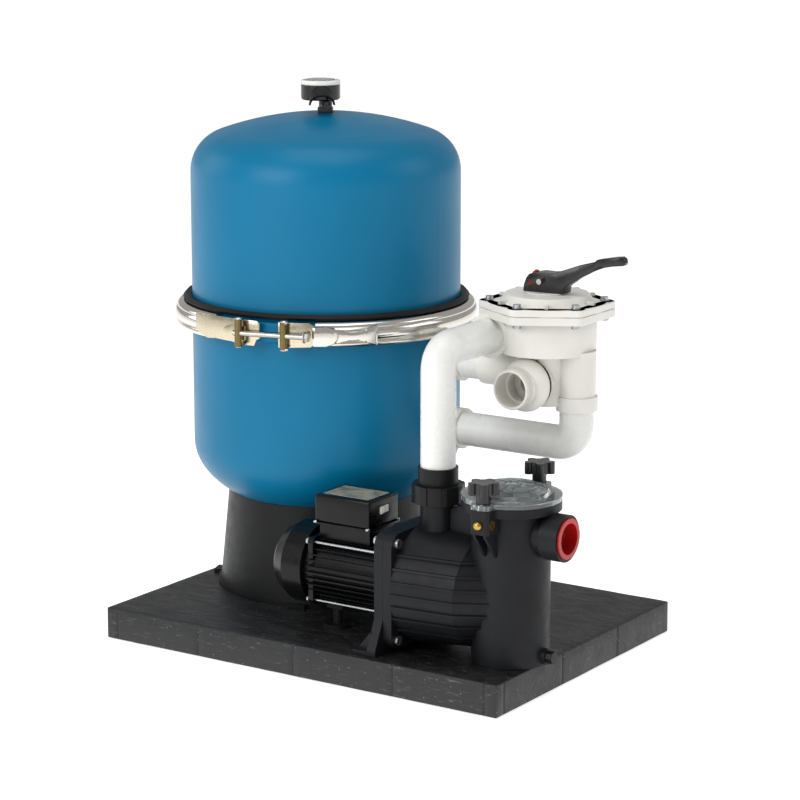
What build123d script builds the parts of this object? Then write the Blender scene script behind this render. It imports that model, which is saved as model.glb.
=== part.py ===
from build123d import *
import math
import os

# Pool filter set: a two-part sand filter tank, six-way valve and pump on one base plate.
# Millimetres. Origin at the centre of the base plate's underside, +Z up,
# +X along the plate's long side (tank to pump inlet), +Y away from the pump.

# ------------------------------------------------------------------ driving sizes
# fits
running = 0.05        # radial clearance of a turning or sliding fit
glued = 0.05          # radial clearance of a pipe in its socket
seat = 0.3            # gap between pieces that only rest near each other

# base plate
plate_length = 680
plate_depth = 490
plate_thickness = 47
plate_corner = 4

# tank
tank_x = -158
tank_y = 68
tank_radius = 202
tank_wall = 6
parting_z = 470
upper_knuckle_z = 679.5
crown_radius = 480
knuckle_radius = 62
lower_dome_z = 272
lower_dome_depth = 112
flange_radius = 218
flange_thickness = 13
gasket_thickness = 2
flange_slope = 6

# skirt
skirt_top_radius = 150
skirt_foot_radius = 164
skirt_rim_radius = 168
skirt_rim_height = 6
skirt_wall = 5
hold_down_count = 4

# clamp band
band_radius = 228
band_half_height = 19
band_wall = 2.5
band_lip_radius = 209
band_shoulder = 9
closure_angle = -76
closure_gap_angle = 9
left_plate_angle = 29
right_plate_angle = 27
closure_plate_radius = 230
trunnion_radius = 5.5
trunnion_length = 40
trunnion_left = -45
trunnion_right = 25
closure_bolt_radius = 4
closure_bolt_offset = 236
closure_bolt_head_radius = 7

# pipes
pipe_radius = 25
pipe_bore = 22.5
pipe_bend = 29
upper_pipe_z = 416
lower_pipe_z = 314
bulkhead_radius = 30
bulkhead_reach = 90
bulkhead_nut_radius = 38
bulkhead_nut_thickness = 8
pipe_engagement = 30

# tank internals
diffuser_z = 636
diffuser_radius = 60
lateral_z = 204
lateral_radius = 9
lateral_tip_radius = 120
lateral_count = 8
hub_radius = 34
sand_top_z = 376
sand_bottom_z = 224

# gauge on the tank top
gauge_x = tank_x - 6
gauge_y = tank_y - 4
gauge_radius = 27
bezel_radius = 29.5
gauge_floor_z = 784.5
gauge_top_z = 812
gauge_wall = 2
gauge_lens_thickness = 2.5
gauge_stem_radius = 10
gauge_stub_radius = 9
needle_pin_radius = 1.5
bleed_angle = -52
bleed_z = 776

# six-way valve
valve_x = 227.5
valve_y = 68
chamber_radius = 72
chamber_wall = 6
chamber_floor_z = 447
port_plate_thickness = 9
valve_flange_z = 497
valve_flange_thickness = 12
bolt_circle = 82.2
lobe_radius = 13.5
valve_flange_radius = 86
cover_height = 21
cover_roof = 7
cover_top_radius = 60
cover_foot_radius = 68
cover_washer_radius = 29.5
core_radius = 44
core_bottom_z = 372
pump_port_x = 171
pump_port_z = 472
pump_port_face_y = 1
pump_socket_depth = 12
return_z = 405
return_tube_radius = 32.9
return_tube_face_y = 8
union_ring_y = 20.5
waste_face_y = 138
bottom_port_x = 279
bottom_port_z = 365
port_socket_radius = 30
rotor_radius = 61
rotor_thickness = 20
stem_radius = 12
handle_pin_z = 549
handle_pin_radius = 4
spring_radius = 20
spring_wire_radius = 1.8
spring_turns = 3
handle_lift = 6
press_angle = 17

# return union
union_nut_radius = 38.4
union_nut_end_y = 20
union_nut_start_y = -7
tail_radius = 28
tail_face_y = -31
tail_flange_radius = 32
tail_flange_thickness = 6
tail_socket_depth = 28

# pump
pump_y = -130
pump_z = 137
body_flange_half = 84
body_flange_corner = 22
flange_bolt_offset = 70
flange_bolt_radius = 4
motor_flange_x = 119
motor_flange_thickness = 14.5
body_flange_thickness = 14.3
barrel_radius = 87
barrel_end_radius = 78
barrel_wall = 9
nose_end_x = 300
nose_end_radius = 48
eye_wall_x = 205
eye_wall_thickness = 8
discharge_x = 171
neck_radius = 25
neck_top_z = 257
thread_radius = 27
thread_top_z = 270
rib_count = 7
rib_pitch = 18
rib_depth = 3
rib_thickness = 3

# discharge union
discharge_nut_radius = 36
discharge_nut_top_z = 283
discharge_tail_radius = 28.5
discharge_tail_top_z = 307
discharge_tail_flange = 30

# strainer
strainer_x = 291.6
strainer_radius = 55
strainer_bore = 50
strainer_bottom_z = plate_thickness + seat
strainer_floor = 8
strainer_flange_radius = 70
strainer_flange_z = 265
strainer_top_z = 278
lid_radius = 70.4
lid_thickness = 7.2
lid_dome_height = 12
lid_wall = 4
lug_offset = 74
lug_half_width = 15
lug_end_radius = 87
knob_radius = 22
knob_base_z = 299
knob_height = 17
knob_stud_radius = 5
brass_radius = 7
brass_z = 257
brass_length = 30
suction_z = 233
suction_neck_radius = 27
suction_collar_radius = 33
suction_collar_x = 353
suction_face_x = 381
suction_bore = 24
plug_rim_radius = 28.5
plug_rim_thickness = 3
drain_z = 60
drain_radius = 6
drain_head_radius = 9.5
basket_radius = 45
basket_wall = 2
basket_bottom_z = 66
basket_top_z = 262
basket_slot_count = 12

# motor
shaft_radius = 8
housing_start_x = -26
housing_bore = 44
housing_radius = 50
fin_radius = 57
fin_count = 40
fin_thickness = 2
fan_cover_end_x = -84
fan_cover_radius = 60
fan_cover_wall = 2
rear_wall_x = -2
bearing_radius = 17.5
bearing_width = 10
rear_bearing_x = -14
front_bearing_x = 106
rotor_core_radius = 31
stator_inner = 31.6
core_start_x = 18
core_end_x = 88
tie_rod_offset = 43
tie_rod_radius = 3
seal_radius = 13
impeller_radius = 62
impeller_start_x = 158
impeller_disc = 4
impeller_vane_height = 12
impeller_vane_count = 6
fan_blade_count = 8

# terminal box
box_start_x = -15
box_length = 94
box_width = 72
box_floor_z = 206
box_height = 38
box_wall = 3
box_lid_thickness = 5
switch_width = 22
switch_height = 10
switch_rest_angle = 8
motor_foot_x = 0
motor_foot_radius = 22.5

# ------------------------------------------------------------------ worked out
plate_top = plate_thickness
tank_axis = Axis((tank_x, tank_y, 0), (0, 0, 1))
pump_axis = Axis((0, pump_y, pump_z), (1, 0, 0))
crown_centre_z = upper_knuckle_z - math.sqrt(
    (crown_radius - knuckle_radius) ** 2 - (tank_radius - knuckle_radius) ** 2
)
apex_z = crown_centre_z + crown_radius
crown_angle = math.degrees(math.atan2(upper_knuckle_z - crown_centre_z, tank_radius - knuckle_radius))
lower_flange_top = parting_z - gasket_thickness / 2
upper_flange_bottom = parting_z + gasket_thickness / 2
valve_flange_top = valve_flange_z + valve_flange_thickness
chamber_floor_top = chamber_floor_z + port_plate_thickness
cover_bottom = valve_flange_top + 0.2
cover_top = cover_bottom + cover_height
motor_flange_end = motor_flange_x + motor_flange_thickness
body_start_x = motor_flange_end + 0.2
body_flange_end = body_start_x + body_flange_thickness
lid_bottom = strainer_top_z + 0.3
lid_top = lid_bottom + lid_thickness
socket_bore = pipe_radius + glued


# ------------------------------------------------------------------ planes and helpers
def upright(x, y):
    """Plane through a vertical axis: local x is +X from the axis, local y is the height."""
    return Plane(origin=(x, y, 0), x_dir=(1, 0, 0), z_dir=(0, -1, 0))


def level(z, x=0, y=0):
    """Horizontal plane at a height, centred over a point."""
    return Plane(origin=(x, y, z))


def facing_x(x, y=pump_y, z=pump_z):
    """Plane across the X direction: local x is +Y, local y is +Z."""
    return Plane(origin=(x, y, z), x_dir=(0, 1, 0), z_dir=(1, 0, 0))


def facing_x_turned(x, angle):
    """Plane across the pump axis, turned about it."""
    turn = math.radians(angle)
    return Plane(origin=(x, pump_y, pump_z), x_dir=(0, math.cos(turn), math.sin(turn)), z_dir=(1, 0, 0))


def facing_y(y, x, z):
    """Plane across the Y direction: local x is +X, local y is -Z."""
    return Plane(origin=(x, y, z), x_dir=(1, 0, 0), z_dir=(0, 1, 0))


def rod(plane, radius, length, mode=Mode.ADD):
    """A round bar from a plane, in the part being built."""
    with BuildSketch(plane) as section:
        Circle(radius)
    extrude(section.sketch, amount=length, mode=mode)


def tube(plane, radius, bore, length):
    """A straight tube from a plane, in the part being built."""
    with BuildSketch(plane) as section:
        Circle(radius)
        Circle(bore, mode=Mode.SUBTRACT)
    extrude(section.sketch, amount=length)


def turned(plane, axis, points, mode=Mode.ADD):
    """A turned piece from the straight-sided outline of its section."""
    with BuildSketch(plane) as section:
        with BuildLine():
            Polyline(*points, close=True)
        make_face()
    revolve(section.sketch, axis=axis, mode=mode)


def bent_rod(points, radius, mode=Mode.ADD):
    """A round bar of straight runs joined by bends, in the part being built."""
    with BuildLine() as route:
        FilletPolyline(*points, radius=pipe_bend)
    with BuildSketch(Plane(origin=route.line @ 0, z_dir=route.line % 0)) as section:
        Circle(radius)
    sweep(section.sketch, path=route.line, mode=mode)


def pipe_run(points):
    """A pipe of straight runs joined by bends, in the part being built."""
    bent_rod(points, pipe_radius)
    bent_rod(points, pipe_bore, Mode.SUBTRACT)


def dome_height(radius):
    """Height of the lower dome's outside at a distance from the tank axis."""
    return lower_dome_z - lower_dome_depth * math.sqrt(1 - (radius / tank_radius) ** 2)


# ------------------------------------------------------------------ base plate
with BuildPart() as base_plate:
    with BuildSketch():
        RectangleRounded(plate_length, plate_depth, plate_corner)
    extrude(amount=plate_thickness)

# ------------------------------------------------------------------ tank
tank_section = upright(tank_x, tank_y)

with BuildPart() as tank_skirt:
    inner_top = skirt_top_radius - skirt_wall
    inner_foot = skirt_foot_radius - skirt_wall
    turned(
        tank_section,
        tank_axis,
        [
            (inner_foot, plate_top),
            (skirt_rim_radius, plate_top),
            (skirt_rim_radius, plate_top + skirt_rim_height),
            (skirt_foot_radius, plate_top + skirt_rim_height),
            (skirt_top_radius, dome_height(skirt_top_radius) - 0.2),
            (inner_top, dome_height(inner_top) - 0.2),
        ],
    )
    with BuildSketch(level(plate_top, tank_x, tank_y)):
        with PolarLocations(skirt_rim_radius + 3, hold_down_count, start_angle=20):
            Rectangle(18, 24)
        Circle(inner_foot, mode=Mode.SUBTRACT)
    extrude(amount=skirt_rim_height)

with BuildPart() as tank_lower_shell:
    bore_radius = tank_radius - tank_wall
    bore_depth = lower_dome_depth - tank_wall
    flange_bottom = lower_flange_top - flange_thickness
    with BuildSketch(tank_section):
        with BuildLine():
            EllipticalCenterArc((0, lower_dome_z), tank_radius, lower_dome_depth, start_angle=270, arc_size=90)
            Polyline(
                (tank_radius, lower_dome_z),
                (tank_radius, flange_bottom - flange_slope),
                (tank_radius + flange_slope, flange_bottom),
                (flange_radius, flange_bottom),
                (flange_radius, lower_flange_top),
                (bore_radius, lower_flange_top),
                (bore_radius, lower_dome_z),
            )
            EllipticalCenterArc((0, lower_dome_z), bore_radius, bore_depth, start_angle=270, arc_size=90)
            Line((0, lower_dome_z - bore_depth), (0, lower_dome_z - lower_dome_depth))
        make_face()
    revolve(axis=tank_axis)
    for height in (upper_pipe_z, lower_pipe_z):
        rod(facing_x(tank_x, tank_y, height), bulkhead_radius + glued, tank_radius + 5, Mode.SUBTRACT)

with BuildPart() as tank_upper_shell:
    flange_top = upper_flange_bottom + flange_thickness
    knuckle_x = tank_radius - knuckle_radius
    with BuildSketch(tank_section):
        with BuildLine():
            Polyline(
                (bore_radius, upper_knuckle_z),
                (bore_radius, upper_flange_bottom),
                (flange_radius, upper_flange_bottom),
                (flange_radius, flange_top),
                (tank_radius + flange_slope, flange_top),
                (tank_radius, flange_top + flange_slope),
                (tank_radius, upper_knuckle_z),
            )
            CenterArc((knuckle_x, upper_knuckle_z), knuckle_radius, 0, crown_angle)
            CenterArc((0, crown_centre_z), crown_radius, crown_angle, 90 - crown_angle)
            Line((0, apex_z), (0, apex_z - tank_wall))
            CenterArc((0, crown_centre_z), crown_radius - tank_wall, crown_angle, 90 - crown_angle)
            CenterArc((knuckle_x, upper_knuckle_z), knuckle_radius - tank_wall, 0, crown_angle)
        make_face()
    revolve(axis=tank_axis)
    rod(level(apex_z - 30, tank_x, tank_y), gauge_stub_radius + glued, 60, Mode.SUBTRACT)

with BuildPart() as tank_seals:
    # flat gasket between the flanges
    tube(level(lower_flange_top, tank_x, tank_y), flange_radius - 2, bore_radius + 2, gasket_thickness)
    # rubber edge ring that covers the upper flange above the clamp band
    ring_bottom = parting_z + band_half_height + 0.2
    turned(
        tank_section,
        tank_axis,
        [
            (tank_radius + 2, ring_bottom),
            (tank_radius + 12, ring_bottom),
            (tank_radius + 13.5, ring_bottom + 3),
            (tank_radius + 9, ring_bottom + 8),
            (tank_radius + 0.6, ring_bottom + 6),
        ],
    )

# ------------------------------------------------------------------ clamp band
band_lip = parting_z + band_half_height


def closure_level(z):
    """Horizontal plane on the tank axis with local x out through the clamp's closure."""
    turn = math.radians(closure_angle)
    return Plane(origin=(tank_x, tank_y, z), x_dir=(math.cos(turn), math.sin(turn), 0), z_dir=(0, 0, 1))


def closure_section(angle):
    """Section plane through the tank axis at an angle from the clamp's closure."""
    turn = math.radians(closure_angle + angle)
    return Plane(
        origin=(tank_x, tank_y, parting_z),
        x_dir=(math.cos(turn), math.sin(turn), 0),
        z_dir=(math.sin(turn), -math.cos(turn), 0),
    )


def curved_plate(start, sweep_angle, inner, outer, bottom, top):
    """A plate bent round the tank, over a range of angles from the closure."""
    with BuildSketch(closure_section(start)) as section:
        with BuildLine():
            Polyline((inner, bottom), (outer, bottom), (outer, top), (inner, top), close=True)
        make_face()
    revolve(section.sketch, axis=tank_axis, revolution_arc=sweep_angle)


with BuildPart() as clamp_band:
    shoulder = band_radius - band_shoulder
    outer_line = [
        (band_lip_radius, -band_half_height),
        (shoulder, -band_half_height),
        (band_radius, -band_half_height + band_shoulder),
        (band_radius, band_half_height - band_shoulder),
        (shoulder, band_half_height),
        (band_lip_radius, band_half_height),
    ]
    inner_half = band_half_height - band_wall
    inner_shoulder = shoulder - 0.4 * band_wall
    inner_radius = band_radius - band_wall
    inner_line = [
        (band_lip_radius, inner_half),
        (inner_shoulder, inner_half),
        (inner_radius, inner_half - band_shoulder + 1),
        (inner_radius, -inner_half + band_shoulder - 1),
        (inner_shoulder, -inner_half),
        (band_lip_radius, -inner_half),
    ]
    with BuildSketch(closure_section(closure_gap_angle / 2)):
        with BuildLine():
            Polyline(*outer_line, *inner_line, close=True)
        make_face()
    revolve(axis=tank_axis, revolution_arc=360 - closure_gap_angle)
    plate_inner = band_radius - band_wall
    plate_half = band_half_height + 1
    left_start = -closure_gap_angle / 2 - left_plate_angle
    curved_plate(left_start, left_plate_angle, plate_inner, closure_plate_radius, -plate_half, plate_half)
    curved_plate(
        closure_gap_angle / 2, right_plate_angle, plate_inner, closure_plate_radius, -plate_half, plate_half
    )
    # eyes that hold the trunnions, above and below the bolt
    for offset in (trunnion_left, trunnion_right):
        for bottom in (parting_z - trunnion_length / 2 + 3, parting_z + 7):
            with BuildSketch(closure_level(bottom)):
                with Locations((closure_bolt_offset - 6, offset)):
                    Rectangle(14, 2 * trunnion_radius + 5)
                with Locations((closure_bolt_offset, offset)):
                    Circle(trunnion_radius + 2.5)
            extrude(amount=trunnion_length / 2 - 10)
            with BuildSketch(closure_level(parting_z - trunnion_length)):
                with Locations((closure_bolt_offset, offset)):
                    Circle(trunnion_radius + running)
            extrude(amount=2 * trunnion_length, mode=Mode.SUBTRACT)

bolt_start = trunnion_left - 8
bolt_head_start = 58
bolt_plane = Plane(
    origin=closure_level(parting_z).from_local_coords(Vector(closure_bolt_offset, bolt_start, 0)),
    z_dir=closure_level(parting_z).y_dir,
)

with BuildPart() as clamp_trunnions:
    for offset in (trunnion_left, trunnion_right):
        with BuildSketch(closure_level(parting_z - trunnion_length / 2)):
            with Locations((closure_bolt_offset, offset)):
                Circle(trunnion_radius)
        extrude(amount=trunnion_length)
    rod(bolt_plane, closure_bolt_radius + running, bolt_head_start - bolt_start, Mode.SUBTRACT)

with BuildPart() as clamp_bolt:
    rod(bolt_plane, closure_bolt_radius, bolt_head_start - bolt_start)
    with BuildSketch(bolt_plane.offset(bolt_head_start - bolt_start)):
        RegularPolygon(closure_bolt_head_radius, 6)
    extrude(amount=6)
    rod(bolt_plane.offset(bolt_head_start - bolt_start - 1.5), closure_bolt_head_radius + 1.5, 1.5)

# ------------------------------------------------------------------ tank pipework
wall_x = tank_x + tank_radius
bulkhead_start = wall_x - tank_wall - 12
inner_pipe_end = bulkhead_reach - pipe_engagement - 3

with BuildPart() as tank_bulkheads:
    for height in (upper_pipe_z, lower_pipe_z):
        plane = facing_x(bulkhead_start, tank_y, height)
        tube(plane, bulkhead_radius, socket_bore, bulkhead_reach - bulkhead_start)
        tube(plane, bulkhead_nut_radius, bulkhead_radius, bulkhead_nut_thickness)

with BuildPart() as upper_pipe:
    tube(
        facing_x(bulkhead_reach - pipe_engagement, tank_y, upper_pipe_z),
        pipe_radius,
        pipe_bore,
        pump_port_x - 14 - (bulkhead_reach - pipe_engagement),
    )

with BuildPart() as lower_pipe:
    pipe_run(
        [
            (bulkhead_reach - pipe_engagement, tank_y, lower_pipe_z),
            (bottom_port_x, tank_y, lower_pipe_z),
            (bottom_port_x, tank_y, bottom_port_z + 18),
        ]
    )

with BuildPart() as riser_pipe:
    pipe_run(
        [
            (discharge_x, pump_y, thread_top_z + 8),
            (discharge_x, pump_y, pump_port_z),
            (discharge_x, pump_port_face_y + pump_socket_depth, pump_port_z),
        ]
    )

# ------------------------------------------------------------------ tank internals
with BuildPart() as inlet_diffuser:
    pipe_run(
        [
            (inner_pipe_end, tank_y, upper_pipe_z),
            (tank_x, tank_y, upper_pipe_z),
            (tank_x, tank_y, diffuser_z),
        ]
    )
    turned(
        tank_section,
        tank_axis,
        [
            (pipe_bore, diffuser_z - 6),
            (pipe_radius + 6, diffuser_z - 6),
            (diffuser_radius, diffuser_z + 14),
            (diffuser_radius, diffuser_z + 20),
            (pipe_bore, diffuser_z),
        ],
    )
    rod(level(diffuser_z + 40, tank_x, tank_y), diffuser_radius, 4)
    with BuildSketch(level(diffuser_z + 12, tank_x, tank_y)):
        with PolarLocations(diffuser_radius - 6, 6):
            Rectangle(6, 12)
    extrude(amount=30)

collector_route = [
    (inner_pipe_end, tank_y, lower_pipe_z),
    (tank_x, tank_y, lower_pipe_z),
    (tank_x, tank_y, lateral_z + lateral_radius),
]
with BuildPart() as collector_hub:
    pipe_run(collector_route)
    rod(level(lateral_z - lateral_radius - 3, tank_x, tank_y), hub_radius, 2 * lateral_radius + 6)

with BuildPart() as collector_laterals:
    for index in range(lateral_count):
        turn = math.radians(360 * index / lateral_count)
        out = Vector(math.cos(turn), math.sin(turn), 0)
        start = Vector(tank_x, tank_y, lateral_z) + out * (hub_radius + 0.1)
        rod(Plane(origin=start, z_dir=out), lateral_radius, lateral_tip_radius - hub_radius)

with BuildPart() as sand_bed:
    rod(level(sand_bottom_z, tank_x, tank_y), bore_radius - 0.5, sand_top_z - sand_bottom_z)
    with BuildSketch(tank_section):
        with BuildLine():
            EllipticalCenterArc((0, lower_dome_z), bore_radius - 0.5, bore_depth - 0.5, start_angle=270, arc_size=90)
            Polyline(
                (bore_radius - 0.5, lower_dome_z),
                (bore_radius + 20, lower_dome_z),
                (bore_radius + 20, lower_dome_z - lower_dome_depth),
                (0, lower_dome_z - lower_dome_depth),
                (0, lower_dome_z - bore_depth + 0.5),
            )
        make_face()
    revolve(axis=tank_axis, mode=Mode.SUBTRACT)
    bent_rod(collector_route, pipe_radius + 1, Mode.SUBTRACT)
    rod(facing_x(bulkhead_start - 1, tank_y, lower_pipe_z), bulkhead_nut_radius + 1, 60, Mode.SUBTRACT)

# ------------------------------------------------------------------ gauge and air bleed
bleed_turn = math.radians(bleed_angle)
bleed_plane = Plane(
    origin=(tank_x, tank_y, bleed_z), z_dir=(math.cos(bleed_turn), math.sin(bleed_turn), 0)
)

with BuildPart() as gauge_tee:
    rod(level(apex_z - 18, tank_x, tank_y), gauge_stub_radius, 20)
    with BuildSketch(level(apex_z + 0.1, tank_x, tank_y)):
        RegularPolygon(13, 6)
    extrude(amount=7)
    rod(level(apex_z + 1, tank_x, tank_y), gauge_stem_radius, gauge_floor_z - apex_z - 1)
    rod(bleed_plane, 7.5, 15)
    rod(bleed_plane.offset(11), 4 + running, 10, Mode.SUBTRACT)

with BuildPart() as bleed_screw:
    rod(bleed_plane.offset(11), 4, 8)
    rod(bleed_plane.offset(15.3), 7, 5)
    with BuildSketch(bleed_plane.offset(20.3)):
        RectangleRounded(6, 15, 2.5)
        RectangleRounded(15, 6, 2.5)
    extrude(amount=8)

gauge_rim_z = gauge_top_z - 6
with BuildPart() as gauge_case:
    rod(level(gauge_floor_z, gauge_x, gauge_y), gauge_radius, gauge_rim_z - gauge_floor_z)
    rod(level(gauge_rim_z, gauge_x, gauge_y), bezel_radius, gauge_top_z - gauge_rim_z)
    rod(
        level(gauge_top_z - 10, gauge_x, gauge_y),
        gauge_radius - gauge_wall,
        20,
        Mode.SUBTRACT,
    )
    rod(level(gauge_top_z - 10, gauge_x, gauge_y), needle_pin_radius, 5)

with BuildPart() as gauge_needle:
    rod(level(gauge_top_z - 7, gauge_x, gauge_y), 3, 1.5)
    with BuildSketch(level(gauge_top_z - 6.8, gauge_x, gauge_y).rotated((0, 0, 225))):
        with BuildLine():
            Polyline((-7, -1.2), (22, -0.4), (22, 0.4), (-7, 1.2), close=True)
        make_face()
    extrude(amount=1)
    rod(level(gauge_top_z - 8, gauge_x, gauge_y), needle_pin_radius + running, 4, Mode.SUBTRACT)

with BuildPart() as gauge_lens:
    lens_radius = gauge_radius - gauge_wall
    rod(level(gauge_top_z - gauge_lens_thickness, gauge_x, gauge_y), lens_radius, gauge_lens_thickness)
    with BuildSketch(level(gauge_top_z, gauge_x, gauge_y)):
        Circle(lens_radius - 2)
    extrude(amount=2.5, taper=40)

# ------------------------------------------------------------------ six-way valve
valve_centre = (valve_x, valve_y)
bottom_offset = bottom_port_x - valve_x
top_port_start_x = pump_port_x - 44


def flange_holes(z, thickness):
    """The bolt holes through one of the valve's flanges."""
    with BuildSketch(level(z, *valve_centre)) as holes:
        with PolarLocations(bolt_circle, 6, start_angle=30):
            Circle(flange_screw_radius + glued)
    extrude(holes.sketch, amount=thickness, mode=Mode.SUBTRACT)


def lobed_plate(z, thickness):
    """The valve's six-lobed flange."""
    with BuildSketch(level(z, *valve_centre)) as outline:
        Circle(valve_flange_radius)
        with PolarLocations(bolt_circle, 6, start_angle=30):
            Circle(lobe_radius)
    extrude(outline.sketch, amount=thickness)


flange_screw_radius = 3
passage_radius = 15
return_plane = facing_y(return_tube_face_y, valve_x, return_z)
waste_plane = facing_y(valve_y + 13, valve_x, return_z)
top_plane = facing_x(top_port_start_x, valve_y, upper_pipe_z)
pump_plane = facing_y(pump_port_face_y, pump_port_x, pump_port_z)
bottom_plane = level(bottom_port_z, bottom_port_x, valve_y)

with BuildPart() as valve_body:
    rod(level(chamber_floor_z, *valve_centre), chamber_radius, valve_flange_top - chamber_floor_z)
    lobed_plate(valve_flange_z, valve_flange_thickness)
    rod(level(core_bottom_z, *valve_centre), core_radius, chamber_floor_z + 2 - core_bottom_z)
    # ports
    rod(return_plane, return_tube_radius, valve_y - return_tube_face_y)
    rod(waste_plane, return_tube_radius, waste_face_y - valve_y - 13)
    rod(top_plane, port_socket_radius, valve_x - top_port_start_x)
    rod(pump_plane, port_socket_radius, valve_y - pump_port_face_y)
    rod(pump_plane, port_socket_radius + 2.5, 16)
    rod(bottom_plane, port_socket_radius - 3, chamber_floor_z + 5 - bottom_port_z)
    rod(bottom_plane, port_socket_radius, 21)
    # chamber and passages
    rod(level(chamber_floor_top, *valve_centre), chamber_radius - chamber_wall, 80, Mode.SUBTRACT)
    for angle, depth in ((90, 40), (180, 34), (270, 40)):
        with BuildSketch(level(chamber_floor_top - depth, *valve_centre)):
            with PolarLocations(38, 1, start_angle=angle):
                Circle(passage_radius - 2)
        extrude(amount=depth, mode=Mode.SUBTRACT)
    rod(level(bottom_port_z, bottom_port_x - 4, valve_y), passage_radius, chamber_floor_top - bottom_port_z, Mode.SUBTRACT)
    rod(return_plane, socket_bore, 14, Mode.SUBTRACT)
    rod(return_plane, passage_radius, valve_y - 13 - return_tube_face_y, Mode.SUBTRACT)
    rod(waste_plane.offset(waste_face_y - valve_y - 13 - 30), socket_bore, 30, Mode.SUBTRACT)
    rod(waste_plane.offset(10), passage_radius, 60, Mode.SUBTRACT)
    rod(top_plane, socket_bore, 30, Mode.SUBTRACT)
    rod(top_plane, passage_radius, valve_x - 31 - top_port_start_x, Mode.SUBTRACT)
    rod(pump_plane, socket_bore, pump_socket_depth, Mode.SUBTRACT)
    with BuildSketch(level(valve_flange_z - 8, *valve_centre)):
        with PolarLocations(bolt_circle, 6, start_angle=30):
            Circle(8)
    extrude(amount=8, mode=Mode.SUBTRACT)
    flange_holes(valve_flange_z - 1, valve_flange_thickness + 1)
    rod(
        facing_y(pump_port_face_y, pump_port_x + 7, pump_port_z),
        passage_radius - 1,
        valve_y - pump_port_face_y - 12,
        Mode.SUBTRACT,
    )
    rod(bottom_plane, socket_bore, 19, Mode.SUBTRACT)

with BuildPart() as valve_cover:
    lobed_plate(cover_bottom, 10)
    turned(
        upright(*valve_centre),
        Axis((valve_x, valve_y, 0), (0, 0, 1)),
        [
            (stem_radius + running, cover_bottom),
            (cover_foot_radius + 4, cover_bottom),
            (cover_foot_radius, cover_bottom + 10),
            (cover_top_radius, cover_top),
            (stem_radius + running, cover_top),
        ],
    )
    # radial stiffening ribs
    with BuildSketch(level(cover_bottom + 9, *valve_centre)):
        with PolarLocations(cover_foot_radius + 3, 6):
            Rectangle(14, 5)
    extrude(amount=6)
    # hollow underside, with the spring seat round the spindle
    with BuildSketch(level(cover_bottom, *valve_centre)):
        Circle(cover_top_radius - 6)
        Circle(stem_radius + 4, mode=Mode.SUBTRACT)
    extrude(amount=cover_height - cover_roof, mode=Mode.SUBTRACT)
    rod(level(cover_bottom, *valve_centre), stem_radius + running, cover_height, Mode.SUBTRACT)
    flange_holes(cover_bottom, cover_height)

with BuildPart() as valve_cover_bolts:
    for z, radius, length in (
        (valve_flange_z - 4, flange_screw_radius, cover_bottom + 10 - valve_flange_z + 4),
        (cover_bottom + 10, 7, 1.5),
        (cover_bottom + 11.5, 5.5, 4.5),
    ):
        with BuildSketch(level(z, *valve_centre)):
            with PolarLocations(bolt_circle, 6, start_angle=30):
                Circle(radius)
        extrude(amount=length)
    with BuildSketch(level(valve_flange_z - 6, *valve_centre)):
        with PolarLocations(bolt_circle, 6, start_angle=30):
            RegularPolygon(6.2, 6)
    extrude(amount=5.8)

rotor_bottom = chamber_floor_top + 0.3
rotor_top = rotor_bottom + rotor_thickness
spindle_top = handle_pin_z + 9

with BuildPart() as valve_rotor:
    rod(level(rotor_bottom, *valve_centre), rotor_radius, rotor_thickness)
    with BuildSketch(level(rotor_bottom, *valve_centre)):
        with PolarLocations(38, 2, start_angle=180, angular_range=180):
            Circle(14)
    extrude(amount=rotor_thickness, mode=Mode.SUBTRACT)
    rod(level(rotor_bottom, *valve_centre), stem_radius, spindle_top - rotor_bottom)
    rod(facing_y(valve_y - 40, valve_x, handle_pin_z), handle_pin_radius, 80, Mode.SUBTRACT)

washer_thickness = 2
with BuildPart() as spring_washer:
    tube(
        level(rotor_top + 0.1, *valve_centre),
        spring_radius + spring_wire_radius + 2,
        stem_radius + running,
        washer_thickness,
    )

spring_bottom = rotor_top + 0.1 + washer_thickness + spring_wire_radius + 0.1
spring_top = cover_bottom + cover_height - cover_roof - spring_wire_radius - 0.1
with BuildPart() as valve_spring:
    spring_height = spring_top - spring_bottom
    with BuildLine(level(spring_bottom, *valve_centre)) as coil:
        Helix(pitch=spring_height / spring_turns, height=spring_height, radius=spring_radius)
    with BuildSketch(Plane(origin=coil.line @ 0, z_dir=coil.line % 0)):
        Circle(spring_wire_radius)
    sweep(path=coil.line, is_frenet=True)

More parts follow.
